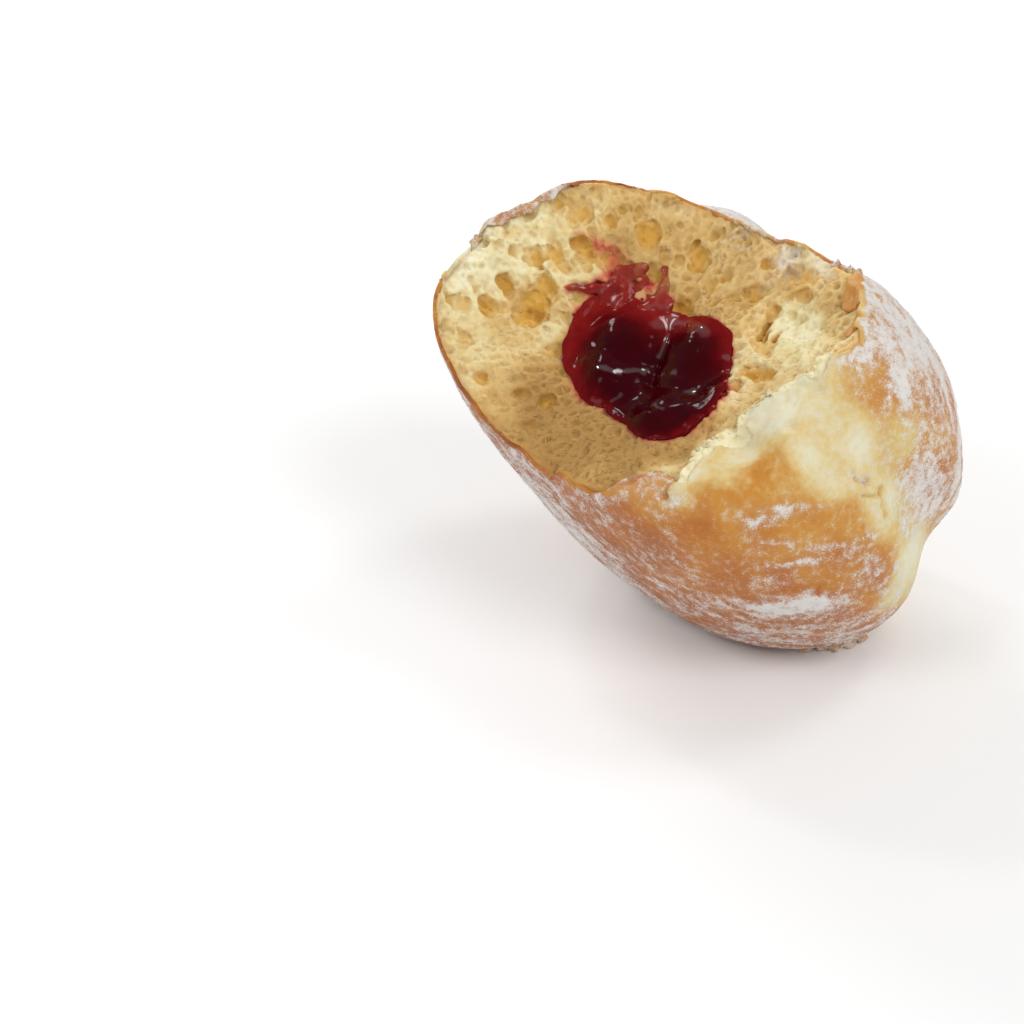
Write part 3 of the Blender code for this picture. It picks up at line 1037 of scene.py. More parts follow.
# %% [markdown]
# ## Sugar on the skin
#
# Powdered sugar is thick on top and thin where fingers or the frying rack have wiped it off in streaks.
# Amounts given at a few places are spread smoothly, and streaks of noise and single dusted strokes are laid
# over them. At the right rim the skin turns inwards and shows bare.

# %% Where the sugar clings
WIPED_WAYS = (0.71, -0.12, 0.70), (-0.71, -0.12, 0.70)
SUGAR_AT = (  # place and how much sugar
    ((10.7, -25.8, 22.1), 0.85), ((8.3, -31.6, 14.6), 0.90), ((14.9, -31.9, 12.0), 0.16),
    ((23.0, -24.6, 18.6), 0.50), ((23.8, -27.6, 9.4), 0.30), ((30.8, -20.9, 12.7), 0.48),
    ((26.2, -25.5, 13.1), 0.42), ((38.3, -15.0, -0.1), 0.10), ((34.2, -21.1, -7.8), 0.30),
    ((29.1, -25.4, -9.3), 0.15), ((17.3, -31.3, 2.8), 0.08), ((27.1, -26.4, 1.2), 0.08),
    ((25.2, -29.2, -5.6), 0.10), ((20.0, -31.2, -10.3), 0.22), ((17.2, -29.9, -15.5), 0.16),
    ((11.1, -26.9, -21.1), 0.08), ((10.6, -31.2, -16.6), 0.05), ((8.6, -29.5, -19.1), 0.12),
    ((10.1, -32.8, -13.2), 0.0), ((10.9, -33.2, -10.0), 0.0), ((6.7, -28.6, -2.4), 0.0),
    ((7.1, -29.8, 1.1), 0.0), ((8.6, -29.5, -9.9), 0.0), ((14.0, -33.0, -4.0), 0.03),
    ((18.5, -20.4, -22.6), 0.14), ((7.8, -17.4, -26.3), 0.18), ((18.5, -7.2, -25.9), 0.45),
    ((-1.9, -17.3, -26.7), 0.40), ((32.1, -14.6, -17.5), 0.42), ((36.7, -7.8, -15.5), 0.50),
    ((38.9, -11.8, -10.3), 0.45), ((24.5, -13.9, -22.5), 0.40), ((5.2, -27.3, 21.2), 0.80),
    ((16.7, -29.9, 15.2), 0.72), ((16.0, -22.9, 23.1), 0.90), ((28.7, -21.2, 16.6), 0.58),
    ((31.2, -20.4, 8.9), 0.75), ((27.9, -24.1, 10.9), 0.62), ((16.5, -31.7, 8.2), 0.22),
    ((4.2, -26.0, -20.4), 0.36), ((20.0, 0.0, 30.0), 0.92), ((30.0, -10.0, 22.0), 0.85),
    ((-10.0, 5.0, 28.0), 0.85), ((35.0, 0.0, 18.0), 0.80), ((0.0, 34.0, 10.0), 0.70),
    ((0.0, 36.0, -2.0), 0.25), ((20.0, 30.0, -12.0), 0.45), ((0.0, 10.0, -29.0), 0.70),
    ((-25.0, 15.0, -22.0), 0.60), ((-36.0, 8.0, 5.0), 0.45), ((-38.0, 5.0, -12.0), 0.40),
    ((38.0, 10.0, -10.0), 0.50), ((42.0, 5.0, 4.0), 0.30), ((-25.0, 20.0, 16.0), 0.75),
    ((-42.3, 2.0, -0.5), 0.50), ((-40.0, 1.5, 6.5), 0.48), ((-33.5, 0.0, 14.0), 0.72),
    ((-21.0, 6.0, 27.0), 0.90), ((1.5, -22.0, -18.5), 0.40), ((26.5, -24.5, 13.5), 0.58),
    ((13.6, -27.5, 20.5), 0.78), ((32.0, -19.5, 12.2), 0.80), ((25.0, -24.5, 16.5), 0.55),
)
DUSTED = (  # each with its start, end, half width and strength
    ((15.5, -30.2, -16.0), (16.9, -31.6, -12.7), 1.7, 0.70),
    ((16.9, -32.0, -12.0), (21.9, -31.0, -5.4), 0.7, 0.45),
    ((18.7, -27.7, -17.3), (22.2, -28.4, -13.4), 0.8, 0.40),
    ((23.9, -28.1, -12.1), (26.0, -27.6, -9.8), 0.7, 0.42),
    ((22.8, -25.3, -16.9), (25.9, -26.3, -12.7), 0.9, 0.45),
    ((27.3, -27.4, -7.7), (29.8, -25.9, -3.2), 1.1, 0.42),
    ((32.5, -23.3, -6.4), (34.6, -21.3, -5.7), 0.8, 0.40),
    ((22.1, -13.7, -23.6), (27.0, -14.8, -21.0), 2.2, 0.24),
    ((27.0, -14.8, -21.0), (30.8, -19.6, -15.2), 2.4, 0.48),
    ((30.8, -19.6, -15.2), (35.0, -18.6, -10.4), 1.6, 0.35),
    ((35.9, -19.6, -2.0), (41.1, -10.4, -3.6), 0.8, 0.55),
    ((4.2, -26.0, -20.4), (6.5, -29.2, -19.5), 1.1, 0.30),
    ((20.4, -30.7, -0.3), (23.2, -28.9, 0.9), 0.7, 0.25),
)
ORANGE_STRIP = ((0.5, -19.5, 22.5), (7.5, -28.0, 15.0))  # the bare rim at the right
sugar = spread_from(points, SUGAR_AT, 5 * MM)
for start, end, half_width, strength in DUSTED:
    away, _ = stroke(points + 0.7 * MM * soft_noise(points, 2.0 * MM, 37)[:, None], start, end)
    wisps = 0.7 + 0.6 * streaks(points, WIPED_WAYS[0], 5 * MM, 0.9 * MM, 48)
    sugar += 1.3 * strength * wisps * soft_edge(away, half_width)
wiped_low = streaks(points, WIPED_WAYS[0], 9 * MM, 1.7 * MM, 33)
wiped_high = streaks(points, WIPED_WAYS[1], 6 * MM, 1.6 * MM, 34)
sugar += np.where(band > 0.0, wiped_high, wiped_low) * 0.30 * np.clip(sugar * 3.0, 0.0, 1.0)
sugar += 0.16 * soft_noise(points, 3.2 * MM, 35) * np.clip(sugar * 3.0, 0.0, 1.0)
from_strip, _ = stroke(points, *ORANGE_STRIP)
strip = 1.0 - smooth_step(from_strip, 4.5 * MM, 8.0 * MM)
bare_rim = 1.0 - smooth_step(gap, 0.2 * MM, 1.2 * MM)
sugar = np.clip(sugar, 0.0, 1.0) * smooth_step(gap + rolled, 0.2 * MM, 1.5 * MM)
sugar *= 1.0 - 0.9 * strip * bare_rim
print("sugar: covers", round(100 * float(np.mean(sugar > 0.5))), "percent of the skin")

# %% [markdown]
# ## Creases, cracks and a curled flake
#
# The pale waist wrinkles as it cools, and it cracks where it is pulled. Each crease is a groove with a
# swelling beside it, drawn along a stroke that noise makes wander. A crack is only a groove, and a flake is
# a ridge.

# %% Crease the skin
CREASES = (  # start and end
    ((20.4, -30.7, -0.3), (23.2, -28.9, 0.9)),
    ((23.2, -28.9, 0.9), (25.9, -26.7, 2.3)),
    ((24.0, -29.1, -0.9), (26.5, -26.5, 1.8)),
    ((26.5, -26.5, 1.8), (29.8, -24.8, 0.3)),
)
CRACKS = (  # start and end
    ((27.8, -27.5, -4.3), (31.1, -24.8, -4.2)),
    ((33.9, -22.0, -6.1), (36.8, -18.3, -6.0)),
    ((29.8, -22.2, -13.6), (33.1, -18.5, -13.6)),
)
RIDGES = (  # start, end, height, half width and browning, for a curled flake of skin and a lump
    ((6.2, -26.0, 4.6), (6.7, -28.5, 6.7), 0.7, 0.45, 0.0),
    ((6.7, -28.5, 6.7), (8.6, -32.4, 7.2), 0.8, 0.45, 0.0),
    ((7.2, -28.6, 5.2), (9.0, -32.2, 5.8), -0.4, 0.6, 0.45),
    ((10.9, -33.0, 7.0), (11.5, -33.4, 7.2), 0.9, 0.6, 0.0),
    ((8.3, -26.5, 0.5), (11.5, -30.5, 1.5), 0.35, 0.7, 0.0),
    ((10.5, -30.0, -4.5), (13.5, -31.5, -2.5), 0.3, 0.6, 0.0),
)
out = normals_of(crust)
relief = 0.10 * soft_noise(points, 1.1 * MM, 38) * sugar + 0.07 * wiped_low
fluffy = smooth_step(flap, -2.0 * MM, 0.0) * (1.0 - smooth_step(flap, 2.0 * MM, 6.0 * MM)) * on_torn_side
fluffy *= 1.0 - smooth_step(rolled, 1.0 * MM, 3.0 * MM)
relief += fluffy * (0.30 * soft_noise(points, 1.4 * MM, 39) + 0.30 * soft_noise(points, 0.8 * MM, 40))
browning *= 1.0 - 0.8 * fluffy * (1.0 - smooth_step(flap, 1.5 * MM, 3.5 * MM))
rim_edge = (1.0 - smooth_step(gap, 0.2 * MM, 1.4 * MM)) * (1.0 - smooth_step(flap, -4.0 * MM, -1.0 * MM))
browning += rim_edge * (0.45 * soft_noise(points, 4.0 * MM, 59) - 0.15)
browning = np.maximum(browning, 0.54 * smooth_step(rolled, 0.4 * MM, 2.0 * MM))
wander = np.stack([soft_noise(points, 2.2 * MM, seed) for seed in (54, 55, 56)], axis=1)
wandering = points + 0.8 * MM * wander
for start, end in CREASES:
    away, _ = stroke(wandering, start, end)
    relief -= 0.40 * soft_edge(away, 0.45)
    relief += 0.20 * soft_edge(away - 1.1 * MM, 0.6)
    browning += 0.25 * soft_edge(away, 0.4)
for start, end in CRACKS:
    away, _ = stroke(wandering, start, end)
    relief -= 0.25 * soft_edge(away, 0.4)
    browning += 0.12 * soft_edge(away, 0.5)
    sugar *= 0.3 + 0.7 * smooth_step(away, 0.1 * MM, 0.7 * MM)
for start, end, height, half_width, browned in RIDGES:
    away, _ = stroke(wandering, start, end)
    relief += height * soft_edge(away, half_width)
    browning += browned * soft_edge(away, half_width)
points += out * (relief * MM)[:, None]
move_points(crust, points)
put_attribute(crust, "browning", browning)
put_attribute(crust, "sugar", sugar)

skin_sugar = np.where(keep, sugar, 0.0)
skin_points = points
skin_normals = normals_of(crust)
print("deepest crease in mm:", round(float(-relief.min()), 2))

# %% [markdown]
# ## Cutting the crust out
#
# Now the torn side is deleted, which leaves an open sheet with the ragged rim. Loose scraps are found by
# selecting all that hangs together with one vertex of the sheet, and deleted too. The cut edge is eased,
# and Solidify gives the sheet its thickness, inwards. Its inner wall is hidden, so a Decimate takes its
# faces mostly there.

# %% Cut the crust and thicken it
CRUST_THICKNESS = 0.8 * MM
CRUST_FACES_KEPT = 0.55
keep_only(crust, keep)
first = int(np.argmin(points_of(crust)[:, 2]))
crust.data.vertices[first].select = True
bpy.ops.object.mode_set(mode="EDIT")
bpy.ops.mesh.select_linked()
bpy.ops.mesh.select_all(action="INVERT")
bpy.ops.mesh.delete(type="VERT")
bpy.ops.object.mode_set(mode="OBJECT")
smooth(crust, 1)
smooth(crust, 8, "edge")
crust.vertex_groups.clear()

shell = crust.modifiers.new("thickness", "SOLIDIFY")
shell.thickness = CRUST_THICKNESS
shell.offset = -1.0
inside = crust.vertex_groups.new(name="inside")
shell.shell_vertex_group = inside.name
apply_all(crust)
thinning = crust.modifiers.new("thinning", "DECIMATE")
thinning.ratio = CRUST_FACES_KEPT
thinning.vertex_group = "inside"
thinning.vertex_group_factor = 12.0
apply_all(crust)
crust.vertex_groups.clear()
print("crust:", triangles_in(crust), "triangles")

# %% [markdown]
# ## The smear
#
# When the halves were pulled apart, jelly was drawn out over the crumb as a thin wet film with a few beads
# on it. It lies on the torn face as it was before the cells were pressed in, so it spans them like a skin.
# A copy of that face is kept only inside a few strokes, made finer, given thickness and remeshed so that
# its edges are round.

# %% Lay the smear on the torn face
STROKES = (  # start, end, and half width at each
    ((-21.8, 0.2, 0.8), (-23.6, -0.8, 4.6), 2.6, 1.9),
    ((-23.6, -0.8, 4.6), (-22.6, -1.3, 7.6), 1.9, 1.0),
    ((-21.8, 0.2, 0.8), (-16.0, -3.0, 5.2), 2.2, 1.5),
    ((-20.8, -1.0, 4.6), (-20.9, -1.4, 6.4), 1.0, 0.7),
    ((-17.0, -2.6, 5.2), (-18.3, -2.2, 8.0), 1.3, 0.9),
    ((-18.3, -2.2, 8.0), (-19.8, -2.0, 9.8), 0.9, 0.7),
    ((-24.6, 0.5, 1.2), (-29.5, 1.3, -3.4), 1.1, 0.35),
    ((-22.6, 0.5, -1.0), (-21.2, 0.5, -5.0), 1.1, 0.5),
)
SMEAR_THICKNESS = 1.1 * MM
SMEAR_FINE = 0.16 * MM
SMEAR_HOLE = ((-19.4, -1.1, 3.8), 0.9)
BEADS = (  # side, height and radius, seen along the pull
    (-13.4, 6.3, 0.30), (-9.2, 8.3, 0.26), (-6.2, 9.2, 0.24), (12.8, 6.0, 0.34), (14.6, 4.2, 0.42),
    (16.2, 2.0, 0.34), (17.0, -0.4, 0.40), (16.8, -2.4, 0.28), (15.8, -5.4, 0.36), (15.0, -7.6, 0.30),
    (13.0, -9.6, 0.34), (9.8, -10.3, 0.26), (-13.9, -4.6, 0.28), (-15.3, -0.6, 0.30), (-11.6, 7.4, 0.28),
)


def inside_strokes(points):
    """How far inside the strokes each point lies."""
    best = np.full(len(points), -1.0)
    for start, end, half_start, half_end in STROKES:
        away, along = stroke(points, start, end)
        best = np.maximum(best, (half_start + (half_end - half_start) * along) * MM - away)
    hole, radius = SMEAR_HOLE
    return np.minimum(best, away_from(points, hole) - radius * MM)


keep_only(smear, inside_strokes(points_of(smear)) > -1.2 * MM)
pick(smear)
bpy.ops.object.mode_set(mode="EDIT")
bpy.ops.mesh.select_all(action="SELECT")
bpy.ops.mesh.subdivide(number_cuts=3)
bpy.ops.object.mode_set(mode="OBJECT")
smooth(smear, 12)
points = points_of(smear)
out = normals_of(smear)
inner = inside_strokes(points) + 0.35 * MM * soft_noise(points, 1.3 * MM, 51)
points += out * ((0.10 + 0.22 * soft_noise(points, 1.1 * MM, 52)) * MM)[:, None]
move_points(smear, points)
put_group(smear, "body", 0.25 + 0.75 * smooth_step(inner, 0.0, 0.9 * MM))
keep_only(smear, inner > 0.0)
shell = smear.modifiers.new("thickness", "SOLIDIFY")
shell.thickness = SMEAR_THICKNESS
shell.offset = -0.4
shell.vertex_group = "body"
apply_all(smear)
smear.vertex_groups.clear()
deselect_all()
beads = []
for side, height, radius in BEADS:
    stands = torn_height(np.array([side]) * MM, np.array([height]) * MM)[0] + 0.35 * radius * MM
    place = JELLY_CENTRE + stands * outward + (side * across + height * upward) * MM
    bpy.ops.mesh.primitive_ico_sphere_add(subdivisions=3, radius=radius * MM, location=place)
    beads.append(bpy.context.active_object)
    deselect_all()
join(beads, smear)
remesh(smear, SMEAR_FINE)
smooth(smear, 6)
points = points_of(smear)
from_pool = past_pool(points)
film = 0.30 * (1.0 - smooth_step(from_pool, 0.0, 3.5 * MM)) + 0.12 * soft_noise(points, 1.5 * MM, 53)
put_attribute(smear, "thick", film)
put_attribute(smear, "wet", 0.15 + 0.6 * smooth_step(soft_noise(points, 0.9 * MM, 68), 0.3, 0.6))
print("smear:", triangles_in(smear), "triangles")

# %% [markdown]
# ## Crumbs, threads and sugar grains
#
# A torn crumb is furry with tiny shreds, and powdered sugar lies in clumps that catch the light. There are
# thousands of each, so each is only a ball of twenty faces, stretched and bent its own way, and all are
# gathered in one mesh. Shreds lie along the pull. Grains are thrown where the sugar mask is strong.

# %% Scatter the shreds and the grains
SHREDS = 1500
THREADS = 350
GRAINS = 9000


def scatter(name, places, ways, ups, lengths, widths, heights, seed):
    """One mesh of many rough lumps: long along ways, flat against ups."""
    random = np.random.default_rng(seed)
    deselect_all()
    bpy.ops.mesh.primitive_ico_sphere_add(subdivisions=1, radius=1.0)
    ball = bpy.context.active_object
    corners = points_of(ball)
    faces = np.array([tuple(face.vertices) for face in ball.data.polygons])
    ways = ways - ups * np.sum(ways * ups, axis=1, keepdims=True)
    ways /= np.linalg.norm(ways, axis=1, keepdims=True)
    sides = np.cross(ups, ways)
    rough = corners[None] * random.uniform(0.75, 1.25, (len(places), len(corners), 1))
    every = places[:, None] + rough[..., 0:1] * (ways * lengths[:, None])[:, None]
    every += rough[..., 1:2] * (sides * widths[:, None])[:, None]
    every += rough[..., 2:3] * (ups * heights[:, None])[:, None]
    ball.name = name
    joined = faces[None] + np.arange(len(places))[:, None, None] * len(corners)
    mesh = bpy.data.meshes.new(name)
    mesh.from_pydata(every.reshape(-1, 3).tolist(), [], joined.reshape(-1, 3).tolist())
    ball.data = mesh
    return ball


random = np.random.default_rng(61)
points = points_of(crumb)
out = normals_of(crumb)
share = pool_place(points)[2]
from_skin = nearest(skin, points)[0]
inner_face = nearest(tear_face, points)[0] < 12.0 * MM
weights = np.where(inner_face & (from_skin > 1.0 * MM) & (share > 1.04), 1.0, 0.0)
weights *= 0.4 + smooth_step(points @ COARSE_SIDE, 25 * MM, -15 * MM)
chosen = random.choice(np.arange(len(points)), SHREDS, replace=False, p=weights / weights.sum())
pull = points[chosen] - JELLY_CENTRE
pull /= np.linalg.norm(pull, axis=1, keepdims=True)
ups = out[chosen] + 0.5 * random.normal(size=(len(chosen), 3))
ups /= np.linalg.norm(ups, axis=1, keepdims=True)
ways = pull + 0.45 * random.normal(size=(len(chosen), 3))
lengths = random.uniform(0.18, 0.60, len(chosen)) * MM
widths = random.uniform(0.07, 0.16, len(chosen)) * MM
heights = random.uniform(0.05, 0.12, len(chosen)) * MM
places = points[chosen] + out[chosen] * 0.03 * MM
masks = {mask: attribute_of(crumb, mask) for mask in ("tan_and_shade", "pit", "depth", "stain", "dusting")}

tops = np.nonzero(inner_face & (from_skin > 1.2 * MM) & (share > 1.06) & (masks["pit"] < 0.25))[0]
first, second = random.choice(tops, (2, 60000))
apart = np.linalg.norm(points[first] - points[second], axis=1)
close = (apart > 0.8 * MM) & (apart < 2.3 * MM)
first, second = first[close], second[close]
crumb_face = surface_of(crumb)
middle = (points[first] + points[second]) / 2
spans = nearest(crumb_face, middle)[0] > 0.35 * MM
first, second, middle = (kind[spans][:THREADS] for kind in (first, second, middle))
thread = points[second] - points[first]
across_thread = np.cross(thread, random.normal(size=thread.shape))
across_thread /= np.linalg.norm(across_thread, axis=1, keepdims=True)
thin = random.uniform(0.04, 0.09, len(first)) * MM

places = np.concatenate((places, middle))
ways = np.concatenate((ways, thread))
ups = np.concatenate((ups, across_thread))
lengths = np.concatenate((lengths, np.linalg.norm(thread, axis=1) * 0.55))
widths = np.concatenate((widths, thin))
heights = np.concatenate((heights, thin))
shreds = scatter("crumb_shreds", places, ways, ups, lengths, widths, heights, 62)

for mask, values in masks.items():
    values = np.concatenate((values[chosen] * 0.9, values[first] * 0.8))
    put_attribute(shreds, mask, np.repeat(values, 12))
print("threads:", len(first))

weights = smooth_step(skin_sugar, 0.25, 0.9)
weights *= 0.3 + smooth_step(soft_noise(skin_points, 1.5 * MM, 63), -0.3, 0.5)
weights *= np.where(nearest(tear_face, skin_points)[0] > 0.8 * MM, 1.0, 0.0)
chosen = random.choice(np.arange(len(skin_points)), GRAINS, replace=False, p=weights / weights.sum())
ups = skin_normals[chosen]
ways = random.normal(size=(len(chosen), 3))
sizes_of = random.uniform(0.07, 0.19, len(chosen)) * MM
places = skin_points[chosen] + 0.2 * MM * random.normal(size=(len(chosen), 3))
places += ups * (0.02 * MM - np.sum((places - skin_points[chosen]) * ups, axis=1))[:, None]
grains = scatter("sugar_grains", places, ways, ups, sizes_of, sizes_of * 0.8, sizes_of * 0.55, 64)
print("shreds:", triangles_in(shreds), "grains:", triangles_in(grains), "triangles")

# %% [markdown]
# ## Lumps under the edge
#
# A few bits of dough and damp sugar stick to the underside at the front. Six balls are joined, a fine voxel
# remesh melts them into one lumpy piece, and a Displace modifier roughens it.

# %% Make the lumps
LUMPS = (  # place on the floor and radius
    ((15.2, -14.6, 0.9), 1.2),
    ((17.2, -15.4, 1.1), 1.5),
    ((19.6, -15.2, 0.8), 1.1),
    ((21.8, -15.2, 1.0), 1.4),
    ((24.0, -14.4, 0.9), 1.2),
    ((26.0, -13.2, 0.9), 0.9),
)
deselect_all()
balls = []
for place, radius in LUMPS:
    bpy.ops.mesh.primitive_ico_sphere_add(subdivisions=4, radius=radius * MM, location=np.array(place) * MM)
    balls.append(bpy.context.active_object)
    deselect_all()
join(balls[1:], balls[0])
bpy.ops.object.transform_apply(location=True, rotation=True, scale=True)
lumps = balls[0]
lumps.name = "floor_lumps"
remesh(lumps, 0.2 * MM)
add_clouds(lumps, "lumpy", 1.1 * MM, 1.6 * MM)
apply_all(lumps)
smooth(lumps, 2)
lumps.data.transform(UPRIGHT_TO_PLACE.inverted())
put_attribute(lumps, "browning", np.full(len(lumps.data.vertices), 0.55))
put_attribute(lumps, "sugar", np.full(len(lumps.data.vertices), 0.62))
print("lumps:", triangles_in(lumps), "triangles")

# %% [markdown]
# ## Into the shared frame
#
# So far every shape stands upright in the doughnut's own frame. Each mesh is now turned and moved to the way
# the doughnut lies, so that the objects themselves stay at the origin. Each piece then replaces the plain
# CAD node that it refines and rides on the one body; its material is put on further down.

# %% Lay the pieces in place
PIECES = (
    (crumb, "dough"), (crust, "dough"), (shreds, "dough"), (grains, "dough"), (lumps, "dough"),
    (jelly, "jelly"), (smear, "jelly"),
)
for piece, node in PIECES:
    piece.data.transform(UPRIGHT_TO_PLACE)
    points = points_of(piece)
    points[:, 2] = np.maximum(points[:, 2], 0.0)
    move_points(piece, points)
    piece.data.shade_smooth()
    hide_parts(node)
    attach(piece, "root")

# %% [markdown]
# ## Shader helpers
#
# Every material is a small tree of nodes. A helper adds one node with its settings, plain values and links,
# so that a tree reads as a list. Patterns use Object coordinates: all pieces stand at the origin, so these
# are metres.

# %% Helpers for nodes
SUGAR_WHITE = (0.74, 0.72, 0.695, 1.0)


def add(tree, kind, values=None, links=None, **settings):
    """Add a shader node; values and links go to its inputs by name or number."""
    made = tree.nodes.new("ShaderNode" + kind)
    for name, value in settings.items():
        setattr(made, name, value)
    for socket, value in (values or {}).items():
        made.inputs[socket].default_value = value
    for socket, source in (links or {}).items():
        tree.links.new(source, made.inputs[socket])
    return made


def add_noise(tree, place, size, detail=2.0, roughness=0.5):
    """Noise whose lumps are about one size across."""
    values = {"Scale": 1.0 / size, "Detail": detail, "Roughness": roughness}
    return add(tree, "TexNoise", values, {"Vector": place}).outputs["Fac"]


def add_math(tree, operation, first, second, clamp=False):
    """A Math node; each side is a number or a socket."""
    made = tree.nodes.new("ShaderNodeMath")
    made.operation = operation
    made.use_clamp = clamp
    for socket, side in enumerate((first, second)):
        if isinstance(side, (int, float)):
            made.inputs[socket].default_value = side
        else:
            tree.links.new(side, made.inputs[socket])
    return made.outputs[0]


def add_ramp(tree, source, stops):
    """A Color Ramp with stops of (place, colour)."""
    made = add(tree, "ValToRGB", links={"Fac": source})
    elements = made.color_ramp.elements
    while len(elements) < len(stops):
        elements.new(0.5)
    for element, (place, colour) in zip(elements, stops):
        element.position = place
        element.color = (*colour, 1.0)
    return made.outputs["Color"]


def add_mix(tree, share, first, second):
    """Mix two colours; each is a colour or a socket."""
    made = add(tree, "Mix", links={"Factor": share}, data_type="RGBA")
    for socket, side in ((6, first), (7, second)):
        if isinstance(side, tuple):
            made.inputs[socket].default_value = side
        else:
            tree.links.new(side, made.inputs[socket])
    return made.outputs[2]


def add_step(tree, source, low, high):
    """A smooth mask: 0 below low and 1 above high."""
    values = {"From Min": low, "From Max": high}
    return add(
        tree, "MapRange", values, {"Value": source}, interpolation_type="SMOOTHSTEP"
    ).outputs["Result"]


def add_wobble(tree, level, noise, amount):
    """A level made uneven by a noise that runs from 0 to 1."""
    uneven = add_math(tree, "MULTIPLY", add_math(tree, "SUBTRACT", noise, 0.5), amount)
    return add_math(tree, "ADD", level, uneven)


def add_attribute(tree, name):
    return add(tree, "Attribute", attribute_name=name).outputs["Fac"]


def new_material(name, roughness):
    material = bpy.data.materials.new(name)
    material.use_nodes = True
    tree = material.node_tree
    shader = tree.nodes["Principled BSDF"]
    shader.inputs["Roughness"].default_value = roughness
    place = add(tree, "TexCoord").outputs["Object"]
    return material, tree, shader, place


def new_group(name, inputs, outputs):
    """A shader node group with float inputs and the given outputs, each (name, kind)."""
    group = bpy.data.node_groups.new(name, "ShaderNodeTree")
    for socket in inputs:
        group.interface.new_socket(socket, in_out="INPUT", socket_type="NodeSocketFloat")
    for socket, kind in outputs:
        group.interface.new_socket(socket, in_out="OUTPUT", socket_type="NodeSocket" + kind)
    return group, group.nodes.new("NodeGroupInput"), group.nodes.new("NodeGroupOutput")


def put_on(piece, material):
    piece.data.materials.clear()
    piece.data.materials.append(material)
    print("material:", material.name, "on", piece.name)


# %% [markdown]
# ## Powdered sugar
#
# Powdered sugar is a white dust that clings in blots, with fine speckles between them. It lies on the crust
# and a little on the crumb, so it is a node group that both materials use. Its input is how much sugar lies
# there. Its outputs are a mask for the colour and a height for the bump.

# %% Powdered sugar as a node group
powder, given, result = new_group("powder", ("Amount",), (("Mask", "Float"), ("Height", "Float")))
place = add(powder, "TexCoord").outputs["Object"]
fine = add_noise(powder, place, 0.20 * MM, 2.0, 0.7)
blots = add_noise(powder, place, 1.2 * MM, 3.0, 0.6)
half_fine = add_math(powder, "MULTIPLY", fine, 0.5)
speckle = add_math(powder, "ADD", half_fine, add_math(powder, "MULTIPLY", blots, 0.5))
spread = add_step(powder, speckle, 0.28, 0.72)
above = add_math(powder, "SUBTRACT", given.outputs["Amount"], spread)
mask = add_step(powder, above, -0.32, 0.45)
powder.links.new(mask, result.inputs["Mask"])
heap = add_math(powder, "MULTIPLY", mask, add_math(powder, "ADD", fine, 0.4))
powder.links.new(heap, result.inputs["Height"])

# %% [markdown]
# ## The crust's material
#
# Fried skin runs from pale cream at the waist to deep orange brown. The stored browning picks a colour from
# a ramp, with noise added so that no patch has a straight edge. Sugar is laid over it with the node group.
# A little subsurface scattering lets light bleed through the thin skin.

# %% The crust's material
crust_material, tree, shader, place = new_material("fried_crust", 0.62)
shader.inputs["Specular IOR Level"].default_value = 0.3
shader.inputs["Subsurface Weight"].default_value = 0.25
shader.inputs["Subsurface Radius"].default_value = (1.0, 0.7, 0.4)
shader.inputs["Subsurface Scale"].default_value = 0.8 * MM
grain = add_noise(tree, place, 1.2 * MM, 3.0, 0.6)
broad = add_noise(tree, place, 7.0 * MM, 2.0, 0.5)
level = add_wobble(tree, add_attribute(tree, "browning"), grain, 0.35)
level = add_wobble(tree, level, broad, 0.30)
fried = add_ramp(
    tree,
    level,
    (
        (0.0, (0.73, 0.69, 0.50)),
        (0.25, (0.67, 0.50, 0.20)),
        (0.5, (0.56, 0.25, 0.035)),
        (0.75, (0.45, 0.145, 0.020)),
        (1.0, (0.33, 0.095, 0.020)),
    ),
)
dusting = add(tree, "Group", node_tree=powder)
tree.links.new(add_attribute(tree, "sugar"), dusting.inputs["Amount"])
haze = add_math(tree, "MULTIPLY", add_attribute(tree, "sugar"), 0.15)
cover = add_math(tree, "MAXIMUM", add_math(tree, "MULTIPLY", dusting.outputs["Mask"], 0.95), haze)
tree.links.new(add_mix(tree, cover, fried, SUGAR_WHITE), shader.inputs["Base Color"])
bump = add(tree, "Bump", {"Strength": 0.5, "Distance": 0.25 * MM})
relief = add_math(tree, "ADD", dusting.outputs["Height"], add_math(tree, "MULTIPLY", grain, 0.5))
tree.links.new(relief, bump.inputs["Height"])
tree.links.new(bump.outputs["Normal"], shader.inputs["Normal"])
put_on(crust, crust_material)
put_on(lumps, crust_material)
